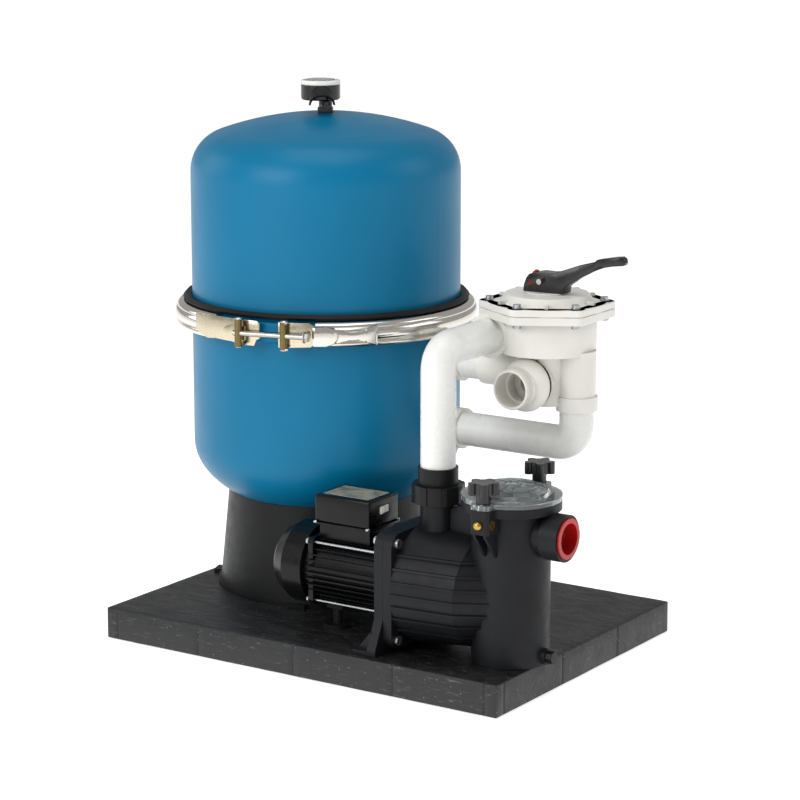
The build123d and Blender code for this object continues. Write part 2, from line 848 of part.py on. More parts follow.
hub_width = 46
hub_heel = handle_pin_z - cover_top - 3
hub_slot = 2 * stem_radius + 1
with BuildPart() as handle_lever:
    # hub with a slot for the spindle, and a heel that slopes up towards the grip
    with BuildSketch(facing_y(valve_y - hub_width / 2, valve_x, handle_pin_z)):
        with BuildLine():
            Polyline(
                (-18, hub_heel),
                (2, hub_heel),
                (30, hub_heel - 28 * math.tan(math.radians(press_angle + 2))),
                (31, -6),
                (24, -14),
                (-16, -17),
                (-27, -8),
                (-28, 6),
                close=True,
            )
        make_face()
    extrude(amount=hub_width)
    # arm and paddle
    with BuildSketch(facing_y(valve_y - 9, valve_x, handle_pin_z)):
        with BuildLine():
            Polyline((20, -14), (60, -18), (98, -38), (139, -50), (139, -45), (99, -30), (62, -8), (22, 5), close=True)
        make_face()
    extrude(amount=18)
    with BuildSketch(facing_y(valve_y - 14, valve_x, handle_pin_z)):
        with BuildLine():
            Polyline((84, -32), (139, -50), (139, -45), (86, -25), close=True)
        make_face()
    extrude(amount=28)
    with BuildSketch(level(handle_pin_z - 20, *valve_centre)):
        Rectangle(2 * stem_radius + 12, hub_slot)
    extrude(amount=33, mode=Mode.SUBTRACT)
    rod(
        facing_y(valve_y - hub_width, valve_x, handle_pin_z),
        handle_pin_radius + running,
        2 * hub_width,
        Mode.SUBTRACT,
    )

with BuildPart() as handle_pin:
    rod(facing_y(valve_y - hub_width / 2 - 1, valve_x, handle_pin_z), handle_pin_radius, hub_width + 2)

# ------------------------------------------------------------------ return union
with BuildPart() as return_tailpiece:
    tube(facing_y(tail_face_y, valve_x, return_z), tail_radius, socket_bore, tail_socket_depth)
    flange_start = return_tube_face_y - 0.1 - tail_flange_thickness
    tail_end_y = flange_start + tail_flange_thickness
    tube(
        facing_y(tail_face_y + tail_socket_depth, valve_x, return_z),
        tail_radius,
        pipe_bore - 1,
        tail_end_y - tail_face_y - tail_socket_depth,
    )
    tube(facing_y(flange_start, valve_x, return_z), tail_flange_radius, tail_radius, tail_flange_thickness)
    for index in range(4):
        tube(facing_y(tail_face_y + 2 + 4 * index, valve_x, return_z), tail_radius + 1.2, tail_radius, 1.6)

with BuildPart() as return_union_seal:
    tube(facing_y(union_ring_y, valve_x, return_z), return_tube_radius + 2.6, return_tube_radius, 3)

with BuildPart() as return_union_nut:
    nut_length = union_nut_end_y - union_nut_start_y
    with BuildSketch(facing_y(union_nut_start_y, valve_x, return_z)):
        Circle(union_nut_radius)
        with PolarLocations(union_nut_radius, 24):
            Circle(1.6)
        Circle(return_tube_radius + running, mode=Mode.SUBTRACT)
    extrude(amount=nut_length)
    tube(
        facing_y(union_nut_start_y, valve_x, return_z),
        union_nut_radius,
        tail_radius + 1.2 + seat,
        flange_start - union_nut_start_y - seat,
    )

# ------------------------------------------------------------------ pump body and strainer
body_end_x = strainer_x - strainer_bore + 4


def lug_outline(z, thickness, radius):
    """The strainer's round flange with its two knob lugs."""
    with BuildSketch(level(z, strainer_x, pump_y)) as outline:
        Circle(radius)
        RectangleRounded(2 * lug_half_width, 2 * lug_end_radius, 6)
    extrude(outline.sketch, amount=thickness)


with BuildPart() as barrel_ribs:
    turned(
        upright(0, pump_y),
        pump_axis,
        [
            (body_flange_end, pump_z),
            (body_flange_end, pump_z + barrel_radius + rib_depth),
            (body_end_x, pump_z + barrel_end_radius + rib_depth),
            (nose_end_x, pump_z + nose_end_radius + rib_depth),
            (nose_end_x, pump_z),
        ],
    )
    with BuildSketch(facing_x(body_flange_end)) as bands:
        for index in range(rib_count):
            with Locations((0, (index - (rib_count - 1) / 2) * rib_pitch)):
                Rectangle(2 * barrel_radius + 40, rib_thickness)
    extrude(bands.sketch, amount=nose_end_x - body_flange_end, mode=Mode.INTERSECT)

with BuildPart() as pump_body:
    # mounting flange
    with BuildSketch(facing_x(body_start_x)):
        RectangleRounded(2 * body_flange_half, 2 * body_flange_half, body_flange_corner)
    extrude(amount=body_flange_thickness)
    # volute barrel and its bands
    turned(
        upright(0, pump_y),
        pump_axis,
        [
            (body_flange_end - 1, pump_z),
            (body_flange_end - 1, pump_z + barrel_radius),
            (body_end_x, pump_z + barrel_end_radius),
            (body_end_x, pump_z),
        ],
    )
    turned(
        upright(0, pump_y),
        pump_axis,
        [
            (body_end_x - 1, pump_z),
            (body_end_x - 1, pump_z + barrel_end_radius),
            (nose_end_x, pump_z + nose_end_radius),
            (nose_end_x, pump_z),
        ],
    )
    add(barrel_ribs.part)
    # strainer pot
    rod(level(strainer_bottom_z, strainer_x, pump_y), strainer_radius, strainer_flange_z - strainer_bottom_z)
    rod(level(strainer_flange_z, strainer_x, pump_y), strainer_flange_radius, strainer_top_z - strainer_flange_z)
    lug_outline(brass_z - brass_radius - 6, strainer_top_z - brass_z + brass_radius + 6, strainer_radius)
    # outlet neck
    rod(level(pump_z + 60, discharge_x, pump_y), neck_radius, neck_top_z - pump_z - 60)
    rod(level(neck_top_z, discharge_x, pump_y), thread_radius, thread_top_z - neck_top_z)
    with BuildSketch(upright(0, pump_y)):
        with BuildLine():
            Polyline(
                (discharge_x, pump_z + 70),
                (strainer_x, pump_z + 70),
                (strainer_x, strainer_flange_z - 4),
                (strainer_x - 60, strainer_flange_z - 4),
                (discharge_x, neck_top_z - 22),
                close=True,
            )
        make_face()
    extrude(amount=3.5, both=True)
    # inlet neck
    rod(facing_x(strainer_x, pump_y, suction_z), suction_neck_radius, suction_collar_x - strainer_x + 1)
    rod(
        facing_x(suction_collar_x, pump_y, suction_z),
        suction_collar_radius,
        suction_face_x - suction_collar_x,
    )
    # drain boss
    rod(facing_x(strainer_x, pump_y, drain_z), drain_head_radius + 2, strainer_radius + 6)
    # hollows
    rod(facing_x(body_start_x), barrel_end_radius - 1, eye_wall_x - body_start_x, Mode.SUBTRACT)
    rod(facing_x(eye_wall_x), 22, strainer_x - eye_wall_x, Mode.SUBTRACT)
    rod(
        facing_x(eye_wall_x + eye_wall_thickness),
        barrel_end_radius - barrel_wall,
        body_end_x - 8 - eye_wall_x - eye_wall_thickness,
        Mode.SUBTRACT,
    )
    rod(level(strainer_bottom_z + strainer_floor, strainer_x, pump_y), strainer_bore, 300, Mode.SUBTRACT)
    rod(level(pump_z, discharge_x, pump_y), pipe_bore - 3, 200, Mode.SUBTRACT)
    rod(facing_x(strainer_x, pump_y, suction_z), suction_bore + running, 200, Mode.SUBTRACT)
    rod(facing_x(strainer_x, pump_y, drain_z), drain_radius + running, 100, Mode.SUBTRACT)
    # flange bolt holes, stud slots and cross holes for the brass nuts
    with BuildSketch(facing_x(body_start_x)):
        with GridLocations(2 * flange_bolt_offset, 2 * flange_bolt_offset, 2, 2):
            Circle(flange_bolt_radius + glued)
    extrude(amount=body_flange_thickness, mode=Mode.SUBTRACT)
    for side in (-1, 1):
        lug_y = pump_y + side * lug_offset
        rod(level(brass_z - 12, strainer_x, lug_y), knob_stud_radius + 1, 60, Mode.SUBTRACT)
        rod(
            facing_x(strainer_x - 40, lug_y, brass_z),
            brass_radius + running,
            80,
            Mode.SUBTRACT,
        )

with BuildPart() as lid_barrel_nuts:
    for side in (-1, 1):
        lug_y = pump_y + side * lug_offset
        rod(facing_x(strainer_x - brass_length / 2, lug_y, brass_z), brass_radius, brass_length)
        rod(level(brass_z - 20, strainer_x, lug_y), knob_stud_radius + running, 40, Mode.SUBTRACT)

with BuildPart() as strainer_lid:
    lug_outline(lid_bottom, lid_thickness, lid_radius)
    lid_axis = Axis((strainer_x, pump_y, 0), (0, 0, 1))
    turned(
        upright(strainer_x, pump_y),
        lid_axis,
        [
            (0, lid_top - 1),
            (strainer_bore + 6, lid_top - 1),
            (strainer_bore, lid_top + 6),
            (strainer_bore - 20, lid_top + lid_dome_height),
            (0, lid_top + lid_dome_height),
        ],
    )
    # thin shell under the dome
    turned(
        upright(strainer_x, pump_y),
        lid_axis,
        [
            (0, lid_bottom),
            (strainer_bore, lid_bottom),
            (strainer_bore - 3, lid_top + 3),
            (strainer_bore - 20, lid_top + lid_dome_height - lid_wall),
            (0, lid_top + lid_dome_height - lid_wall),
        ],
        Mode.SUBTRACT,
    )
    with BuildSketch(level(lid_bottom, strainer_x, pump_y)):
        with GridLocations(0, 2 * lug_offset, 1, 2):
            Circle(knob_stud_radius + running)
    extrude(amount=40, mode=Mode.SUBTRACT)
    with BuildSketch(level(lid_bottom, strainer_x, pump_y)):
        Circle(strainer_bore + 7)
        Circle(strainer_bore + 1, mode=Mode.SUBTRACT)
    extrude(amount=3, mode=Mode.SUBTRACT)

with BuildPart() as lid_seal:
    tube(level(strainer_top_z, strainer_x, pump_y), strainer_bore + 6.5, strainer_bore + 1.5, 3)


def lid_knob(side):
    """A five-lobed star knob with its stud."""
    lug_y = pump_y + side * lug_offset
    with BuildPart() as knob:
        with BuildSketch(level(knob_base_z, strainer_x, lug_y)):
            Circle(knob_radius - 7)
            with PolarLocations(knob_radius - 6, 5, start_angle=18):
                Circle(6)
        extrude(amount=knob_height)
        rod(level(lid_top + seat, strainer_x, lug_y), 10, knob_base_z - lid_top - seat)
        rod(level(brass_z - 8, strainer_x, lug_y), knob_stud_radius, knob_base_z - brass_z + 8)
    return knob


lid_knob_front = lid_knob(-1)
lid_knob_rear = lid_knob(1)

with BuildPart() as strainer_basket:
    rod(level(basket_bottom_z, strainer_x, pump_y), basket_radius, basket_top_z - basket_bottom_z)
    tube(level(basket_top_z - 3, strainer_x, pump_y), strainer_bore - seat, basket_radius, 3)
    rod(
        level(basket_bottom_z + basket_wall, strainer_x, pump_y),
        basket_radius - basket_wall,
        basket_top_z,
        Mode.SUBTRACT,
    )
    with BuildSketch(level(basket_bottom_z + 12, strainer_x, pump_y)):
        with PolarLocations(basket_radius, basket_slot_count, start_angle=15):
            Rectangle(12, 6)
    extrude(amount=70, mode=Mode.SUBTRACT)
    # window in front of the inlet
    rod(facing_x(strainer_x, pump_y, suction_z), 19, 80, Mode.SUBTRACT)

with BuildPart() as suction_plug:
    tube(
        facing_x(suction_face_x + 0.1, pump_y, suction_z),
        plug_rim_radius,
        suction_bore - 2,
        plug_rim_thickness,
    )
    tube(facing_x(suction_face_x - 20, pump_y, suction_z), suction_bore, suction_bore - 2, 20.1)
    rod(facing_x(suction_face_x - 20, pump_y, suction_z), suction_bore - 1, 2.5)

with BuildPart() as drain_plug:
    plug_start = strainer_x + strainer_radius - 2
    rod(facing_x(plug_start, pump_y, drain_z), drain_radius, 8.3)
    with BuildSketch(facing_x(strainer_x + strainer_radius + 6.3, pump_y, drain_z)):
        RegularPolygon(drain_head_radius, 8)
    extrude(amount=10)

# ------------------------------------------------------------------ discharge union
with BuildPart() as discharge_tail:
    base = thread_top_z + 0.2
    tube(level(base, discharge_x, pump_y), discharge_tail_flange, pipe_bore - 2, 6)
    tube(level(base + 6, discharge_x, pump_y), discharge_tail_radius, socket_bore, discharge_tail_top_z - base - 6)

with BuildPart() as discharge_nut:
    with BuildSketch(level(neck_top_z, discharge_x, pump_y)):
        Circle(discharge_nut_radius)
        with PolarLocations(discharge_nut_radius - 1, 8):
            Rectangle(5, 9)
        Circle(discharge_tail_flange + seat, mode=Mode.SUBTRACT)
    extrude(amount=discharge_nut_top_z - neck_top_z)
    tube(
        level(base + 6 + seat, discharge_x, pump_y),
        discharge_nut_radius,
        discharge_tail_radius + seat,
        discharge_nut_top_z - base - 6 - seat,
    )
    tube(
        level(neck_top_z, discharge_x, pump_y),
        discharge_nut_radius,
        thread_radius + running,
        thread_top_z - neck_top_z,
    )

# ------------------------------------------------------------------ motor
spigot_length = 15
gusset_offset = 91
with BuildPart() as motor_flange:
    with BuildSketch(facing_x(motor_flange_x)):
        RectangleRounded(2 * body_flange_half, 2 * body_flange_half, body_flange_corner)
    extrude(amount=motor_flange_thickness)
    rod(facing_x(motor_flange_x - spigot_length), housing_bore - glued, spigot_length)
    # foot
    foot_half = 103
    with BuildSketch(facing_x(motor_flange_x, pump_y, 0)):
        with BuildLine():
            Polyline(
                (-foot_half, plate_top),
                (foot_half, plate_top),
                (foot_half, plate_top + 9),
                (body_flange_half, pump_z - 40),
                (-body_flange_half, pump_z - 40),
                (-foot_half, plate_top + 9),
                close=True,
            )
        make_face()
    extrude(amount=motor_flange_thickness)
    with BuildSketch(level(plate_top, motor_flange_x - 8, pump_y)):
        Rectangle(32, 2 * foot_half)
    extrude(amount=7)
    for side in (-1, 1):
        with BuildSketch(upright(0, pump_y + side * gusset_offset)):
            with BuildLine():
                Polyline(
                    (motor_flange_x - 22, plate_top + 5),
                    (motor_flange_x + 1, plate_top + 5),
                    (motor_flange_x + 1, plate_top + 34),
                    close=True,
                )
            make_face()
        extrude(amount=3, both=True)
    # seal recess, shaft opening and front bearing seat
    rod(facing_x(motor_flange_x - spigot_length - 1), shaft_radius + 2, 40, Mode.SUBTRACT)
    rod(
        facing_x(front_bearing_x - 3),
        bearing_radius + glued,
        bearing_width + 3,
        Mode.SUBTRACT,
    )
    rod(facing_x(motor_flange_x + 4), seal_radius + 2, 20, Mode.SUBTRACT)
    with BuildSketch(facing_x(motor_flange_x)):
        with GridLocations(2 * flange_bolt_offset, 2 * flange_bolt_offset, 2, 2):
            Circle(flange_bolt_radius + glued)
        with GridLocations(2 * tie_rod_offset, 2 * tie_rod_offset, 2, 2):
            Circle(tie_rod_radius + glued)
    extrude(amount=motor_flange_thickness, mode=Mode.SUBTRACT)

with BuildPart() as flange_bolts:
    for start, radius, length in (
        (motor_flange_x - 4, flange_bolt_radius, body_flange_end - motor_flange_x + 4),
        (body_flange_end, 7, 5),
        (motor_flange_x - 6, 6.5, 6),
    ):
        with BuildSketch(facing_x(start)):
            with GridLocations(2 * flange_bolt_offset, 2 * flange_bolt_offset, 2, 2):
                Circle(radius)
        extrude(amount=length)

housing_length = motor_flange_x - housing_start_x
lug_plate_inset = 8
fin_length = housing_length - lug_plate_inset
with BuildPart() as motor_housing:
    rod(facing_x(housing_start_x), housing_radius, housing_length)
    with BuildSketch(facing_x(housing_start_x + lug_plate_inset)):
        for index in range(fin_count):
            with PolarLocations((housing_radius + fin_radius) / 2 - 1, 1, start_angle=360 * index / fin_count):
                Rectangle(fin_radius - housing_radius + 2, fin_thickness)
    extrude(amount=fin_length)
    with BuildSketch(level(pump_z + housing_radius - 8, box_start_x + box_length / 2, pump_y)):
        Rectangle(box_length - 8, box_width - 12)
    extrude(amount=box_floor_z - pump_z - housing_radius + 8)
    # lugs for the tie rods at both ends
    for start in (housing_start_x + lug_plate_inset, motor_flange_x - 8):
        with BuildSketch(facing_x(start)):
            RectangleRounded(2 * tie_rod_offset + 14, 2 * tie_rod_offset + 14, 9)
        extrude(amount=8)
    rod(facing_x(rear_wall_x), housing_bore, 200, Mode.SUBTRACT)
    rod(facing_x(housing_start_x - 1), shaft_radius + 1, 60, Mode.SUBTRACT)
    rod(facing_x(rear_bearing_x), bearing_radius + glued, 30, Mode.SUBTRACT)
    with BuildSketch(facing_x(housing_start_x)):
        with GridLocations(2 * tie_rod_offset, 2 * tie_rod_offset, 2, 2):
            Circle(tie_rod_radius + glued)
    extrude(amount=housing_length, mode=Mode.SUBTRACT)
    # wiring passage up into the terminal box
    rod(level(pump_z + 30, box_start_x + 20, pump_y), 8, 60, Mode.SUBTRACT)

with BuildPart() as tie_rods:
    with BuildSketch(facing_x(housing_start_x + 2)):
        with GridLocations(2 * tie_rod_offset, 2 * tie_rod_offset, 2, 2):
            Circle(tie_rod_radius)
    extrude(amount=housing_length - 2 + motor_flange_thickness)
    with BuildSketch(facing_x(housing_start_x + lug_plate_inset - 4)):
        with GridLocations(2 * tie_rod_offset, 2 * tie_rod_offset, 2, 2):
            RegularPolygon(5.5, 6)
    extrude(amount=4)

with BuildPart() as motor_stator:
    tube(facing_x(core_start_x), housing_bore - glued, stator_inner, core_end_x - core_start_x)
    for start in (core_start_x - 12, core_end_x):
        tube(facing_x(start), housing_bore - 3, stator_inner + 3, 12)

with BuildPart() as motor_bearings:
    for start in (rear_bearing_x, front_bearing_x):
        tube(facing_x(start), bearing_radius, shaft_radius + 0.03, bearing_width)

shaft_start_x = housing_start_x - 32
impeller_end_x = impeller_start_x + impeller_disc + impeller_vane_height
with BuildPart() as motor_rotor:
    rod(facing_x(shaft_start_x), shaft_radius, impeller_end_x - shaft_start_x)
    rod(facing_x(core_start_x), rotor_core_radius, core_end_x - core_start_x)

with BuildPart() as mechanical_seal:
    tube(facing_x(motor_flange_x + 5), seal_radius, shaft_radius, 12)
    tube(facing_x(motor_flange_x + 17), seal_radius - 2, shaft_radius, impeller_start_x - motor_flange_x - 17)

with BuildPart() as impeller:
    rod(facing_x(impeller_start_x), impeller_radius, impeller_disc)
    rod(facing_x(impeller_start_x + impeller_disc), shaft_radius + 5, impeller_vane_height)
    for index in range(impeller_vane_count):
        turn = 360 * index / impeller_vane_count
        with BuildSketch(facing_x_turned(impeller_start_x + impeller_disc, turn)):
            with BuildLine():
                ThreePointArc((12, 0), (40, 12), (impeller_radius - 1, 2))
                ThreePointArc((impeller_radius - 1, 2), (40, 15), (12, 3))
                Line((12, 3), (12, 0))
            make_face()
        extrude(amount=impeller_vane_height)
    rod(facing_x(impeller_start_x - 1), shaft_radius, 60, Mode.SUBTRACT)

with BuildPart() as cooling_fan:
    rod(facing_x(housing_start_x - 28), 14, 20)
    rod(facing_x(housing_start_x - 12), fan_cover_radius - 8, 3)
    for index in range(fan_blade_count):
        turn = 360 * index / fan_blade_count
        with BuildSketch(facing_x_turned(housing_start_x - 26, turn)):
            with Locations((32, 0)):
                Rectangle(38, 3)
        extrude(amount=14)
    rod(facing_x(housing_start_x - 40), shaft_radius, 60, Mode.SUBTRACT)

with BuildPart() as fan_cover:
    taper_x = fan_cover_end_x + 24
    cover_edge_x = housing_start_x - 0.1
    turned(
        upright(0, pump_y),
        pump_axis,
        [
            (cover_edge_x, pump_z + fan_cover_radius - fan_cover_wall),
            (cover_edge_x, pump_z + fan_cover_radius),
            (taper_x, pump_z + fan_cover_radius),
            (fan_cover_end_x + 4, pump_z + fan_cover_radius - 12),
            (fan_cover_end_x, pump_z + fan_cover_radius - 16),
            (fan_cover_end_x, pump_z),
            (fan_cover_end_x + fan_cover_wall, pump_z),
            (fan_cover_end_x + fan_cover_wall, pump_z + fan_cover_radius - 18),
            (taper_x, pump_z + fan_cover_radius - fan_cover_wall),
        ],
    )
    # inner ring that sits on the end of the motor housing
    tube(facing_x(cover_edge_x - 3), fan_cover_radius - 1, housing_radius - 4, 3)
    with BuildSketch(facing_x(fan_cover_end_x - 1)):
        for ring_radius, slots in ((14, 6), (24, 10), (34, 14)):
            with PolarLocations(ring_radius, slots):
                Rectangle(7, 4)
    extrude(amount=6, mode=Mode.SUBTRACT)

# ------------------------------------------------------------------ terminal box
box_centre = (box_start_x + box_length / 2, pump_y)
box_top_z = box_floor_z + box_height
switch_centre = Vector(box_start_x + box_length, pump_y, box_floor_z + 26)
with BuildPart() as terminal_box:
    with BuildSketch(level(box_floor_z, *box_centre)):
        RectangleRounded(box_length, box_width, 5)
    extrude(amount=box_height)
    with BuildSketch(level(box_floor_z + box_wall, *box_centre)):
        RectangleRounded(box_length - 2 * box_wall, box_width - 2 * box_wall, 3)
    extrude(amount=box_height, mode=Mode.SUBTRACT)
    with BuildSketch(facing_x(switch_centre.X - 2 * box_wall, switch_centre.Y, switch_centre.Z)):
        Rectangle(switch_width + 1.5, switch_height + 0.8)
    extrude(amount=3 * box_wall, mode=Mode.SUBTRACT)
    # cable gland on the side away from the tank
    rod(facing_y(pump_y - box_width / 2 - 12, box_start_x + 70, box_floor_z + 15), 8.5, 12.5)
    rod(facing_y(pump_y - box_width / 2 - 13, box_start_x + 70, box_floor_z + 15), 4.5, 30, Mode.SUBTRACT)
    rod(level(box_floor_z - 1, box_start_x + 20, pump_y), 8, 10, Mode.SUBTRACT)

with BuildPart() as terminal_cover:
    with BuildSketch(level(box_top_z + 0.1, *box_centre)):
        RectangleRounded(box_length + 2, box_width + 2, 6)
    extrude(amount=box_lid_thickness)
    with BuildSketch(level(box_top_z - 3, *box_centre)):
        RectangleRounded(box_length - 2 * box_wall - 0.4, box_width - 2 * box_wall - 0.4, 3)
        RectangleRounded(box_length - 4 * box_wall, box_width - 4 * box_wall, 2, mode=Mode.SUBTRACT)
    extrude(amount=3.2)

with BuildPart() as power_switch:
    with BuildSketch(
        Plane(
            origin=(switch_centre.X, switch_centre.Y, switch_centre.Z - switch_height / 2),
            x_dir=(0, 1, 0),
            z_dir=(0, 0, 1),
        ).rotated((0, 0, switch_rest_angle))
    ):
        half = switch_width / 2
        with BuildLine():
            Polyline((-half, 1), (0, 3), (half, 1), (half, -2.2), (0, -1), (-half, -2.2), close=True)
        make_face()
    extrude(amount=switch_height)

with BuildPart() as motor_foot:
    rod(level(plate_top, motor_foot_x, pump_y), motor_foot_radius, 5)
    rod(level(plate_top + 5, motor_foot_x, pump_y), 8, pump_z - fin_radius - plate_top - 11)
    with BuildSketch(level(pump_z - fin_radius - 6, motor_foot_x, pump_y)):
        RectangleRounded(30, 22, 3)
    extrude(amount=6)

# ------------------------------------------------------------------ export
pieces = {
    "base_plate": base_plate,
    "tank_skirt": tank_skirt,
    "tank_lower_shell": tank_lower_shell,
    "tank_upper_shell": tank_upper_shell,
    "tank_seals": tank_seals,
    "clamp_band": clamp_band,
    "clamp_trunnions": clamp_trunnions,
    "clamp_bolt": clamp_bolt,
    "tank_bulkheads": tank_bulkheads,
    "inlet_diffuser": inlet_diffuser,
    "collector_hub": collector_hub,
    "collector_laterals": collector_laterals,
    "sand_bed": sand_bed,
    "gauge_tee": gauge_tee,
    "bleed_screw": bleed_screw,
    "gauge_case": gauge_case,
    "gauge_needle": gauge_needle,
    "gauge_lens": gauge_lens,
    "valve_body": valve_body,
    "valve_cover": valve_cover,
    "valve_cover_bolts": valve_cover_bolts,
    "valve_rotor": valve_rotor,
    "spring_washer": spring_washer,
    "valve_spring": valve_spring,
    "handle_lever": handle_lever,
    "handle_pin": handle_pin,
    "return_union_nut": return_union_nut,
    "return_tailpiece": return_tailpiece,
    "return_union_seal": return_union_seal,
    "riser_pipe": riser_pipe,
    "upper_pipe": upper_pipe,
    "lower_pipe": lower_pipe,
    "pump_body": pump_body,
    "lid_barrel_nuts": lid_barrel_nuts,
    "strainer_lid": strainer_lid,
    "lid_seal": lid_seal,
    "lid_knob_front": lid_knob_front,
    "lid_knob_rear": lid_knob_rear,
    "strainer_basket": strainer_basket,
    "suction_plug": suction_plug,
    "drain_plug": drain_plug,
    "discharge_tail": discharge_tail,
    "discharge_nut": discharge_nut,
    "motor_flange": motor_flange,
    "flange_bolts": flange_bolts,
    "motor_housing": motor_housing,
    "tie_rods": tie_rods,
    "motor_stator": motor_stator,
    "motor_bearings": motor_bearings,
    "motor_rotor": motor_rotor,
    "mechanical_seal": mechanical_seal,
    "impeller": impeller,
    "cooling_fan": cooling_fan,
    "fan_cover": fan_cover,
    "terminal_box": terminal_box,
    "terminal_cover": terminal_cover,
    "power_switch": power_switch,
    "motor_foot": motor_foot,
}

os.makedirs("parts", exist_ok=True)
for name, piece in pieces.items():
    piece.part.label = name
    export_step(piece.part, f"parts/{name}.step")
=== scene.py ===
import math

import bmesh
import bpy
from mathutils import Matrix, Vector


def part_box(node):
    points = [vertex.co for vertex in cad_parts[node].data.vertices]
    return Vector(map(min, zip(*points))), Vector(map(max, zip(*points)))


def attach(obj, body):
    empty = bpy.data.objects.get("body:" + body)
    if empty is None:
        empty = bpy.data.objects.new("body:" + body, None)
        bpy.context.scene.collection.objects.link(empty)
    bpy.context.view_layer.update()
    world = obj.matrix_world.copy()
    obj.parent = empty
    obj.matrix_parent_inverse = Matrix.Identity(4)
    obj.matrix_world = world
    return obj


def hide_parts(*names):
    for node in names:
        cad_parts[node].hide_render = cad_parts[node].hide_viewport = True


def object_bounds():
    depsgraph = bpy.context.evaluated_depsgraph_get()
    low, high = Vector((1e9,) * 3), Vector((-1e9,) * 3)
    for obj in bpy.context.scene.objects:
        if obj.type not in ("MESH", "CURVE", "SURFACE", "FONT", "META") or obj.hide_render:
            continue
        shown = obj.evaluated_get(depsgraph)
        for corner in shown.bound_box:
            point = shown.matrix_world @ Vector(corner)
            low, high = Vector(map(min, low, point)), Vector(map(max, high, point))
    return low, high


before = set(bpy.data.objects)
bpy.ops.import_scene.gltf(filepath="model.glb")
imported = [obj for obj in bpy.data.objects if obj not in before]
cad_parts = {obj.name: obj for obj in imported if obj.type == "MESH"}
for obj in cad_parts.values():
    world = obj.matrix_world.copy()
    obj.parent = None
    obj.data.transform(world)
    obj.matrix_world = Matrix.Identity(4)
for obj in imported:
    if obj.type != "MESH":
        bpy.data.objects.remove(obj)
cad_low, cad_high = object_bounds()

bl_info = {
    "name": "Pool filter set",
    "version": (1, 0, 0),
    "blender": (4, 5, 0),
    "location": "View3D > Sidebar > Filter set",
    "description": "Finishes a pool sand filter, its valve and its pump round their CAD frame",
    "category": "Object",
}

MM = 0.001

# The tank stands on this line; the clamp band's parting height and the gauge go with it.
TANK = Vector((-0.158, 0.068, 0))
PARTING = 0.470
GAUGE = Vector((-0.164, 0.064, 0))
PUMP_AXIS = Vector((0, -0.130, 0.137))
VALVE = Vector((0.2275, 0.068, 0))


def linear_colour(hex_text):
    """An sRGB hex value such as 0080A8 as linear red, green, blue and an alpha of 1."""
    parts = [int(hex_text[i : i + 2], 16) / 255 for i in (0, 2, 4)]
    linear = [p / 12.92 if p <= 0.04045 else ((p + 0.055) / 1.055) ** 2.4 for p in parts]
    return (*linear, 1.0)


def per_metre(size_mm):
    """The texture scale that gives a pattern features of this size."""
    return 1000 / size_mm


# ------------------------------------------------------------------ properties
class FilterSetFinish(bpy.types.PropertyGroup):
    """Colours of the filter set's finishes."""

    tank_blue: bpy.props.FloatVectorProperty(
        name="Tank blue",
        description="Colour of the moulded tank shells",
        subtype="COLOR",
        size=4,
        min=0,
        max=1,
        default=linear_colour("006E96"),
    )
    fitting_white: bpy.props.FloatVectorProperty(
        name="Fitting white",
        description="Colour of the valve body and the pipe elbows",
        subtype="COLOR",
        size=4,
        min=0,
        max=1,
        default=linear_colour("E8E6DE"),
    )
    pump_grey: bpy.props.FloatVectorProperty(
        name="Pump grey",
        description="Colour of the glass-filled pump body",
        subtype="COLOR",
        size=4,
        min=0,
        max=1,
        default=linear_colour("16171A"),
    )
    plug_red: bpy.props.FloatVectorProperty(
        name="Plug red",
        description="Colour of the inlet's transport plug",
        subtype="COLOR",
        size=4,
        min=0,
        max=1,
        default=linear_colour("B81414"),
    )


class FilterSetSizes(bpy.types.PropertyGroup):
    """Sizes of the pieces that are finished here."""

    slab_edge: bpy.props.FloatProperty(
        name="Slab edge",
        description="Rounding of the base slab's edges",
        default=2.2 * MM,
        min=0.2 * MM,
        unit="LENGTH",
    )
    seam_depth: bpy.props.FloatProperty(
        name="Seam depth",
        description="Depth of the upright seams in the base slab's sides",
        default=1.2 * MM,
        min=0.0,
        unit="LENGTH",
    )
    dial_tick: bpy.props.FloatProperty(
        name="Dial tick",
        description="Length of a long tick on the gauge dial",
        default=4 * MM,
        min=1 * MM,
        unit="LENGTH",
    )


# ------------------------------------------------------------------ nodes of a material
def add_node(material, kind, sockets=None, **settings):
    """Adds a node, gives it its settings, and sets or links its sockets."""
    node = material.node_tree.nodes.new(kind)
    for name, value in settings.items():
        setattr(node, name, value)
    for name, value in (sockets or {}).items():
        if isinstance(value, bpy.types.NodeSocket):
            material.node_tree.links.new(value, node.inputs[name])
        else:
            node.inputs[name].default_value = value
    return node


def start_material(name, sockets=None):
    """A new material with a principled shader. Returns it, its shader and its object coordinates."""
    material = bpy.data.materials.new(name)
    material.use_nodes = True
    material.node_tree.nodes.clear()
    shader = add_node(material, "ShaderNodeBsdfPrincipled", sockets)
    add_node(material, "ShaderNodeOutputMaterial", {"Surface": shader.outputs[0]})
    place = add_node(material, "ShaderNodeTexCoord").outputs["Object"]
    return material, shader, place


def join(material, source, shader, socket):
    """Links a worked-out value to one of the shader's sockets."""
    material.node_tree.links.new(source, shader.inputs[socket])


def clouds(place, size_mm, detail=3.0, rough=0.5, distortion=0.0):
    """The sockets of a cloudy pattern whose features are size_mm across."""
    return {
        "Vector": place,
        "Scale": per_metre(size_mm),
        "Detail": detail,
        "Roughness": rough,
        "Distortion": distortion,
    }


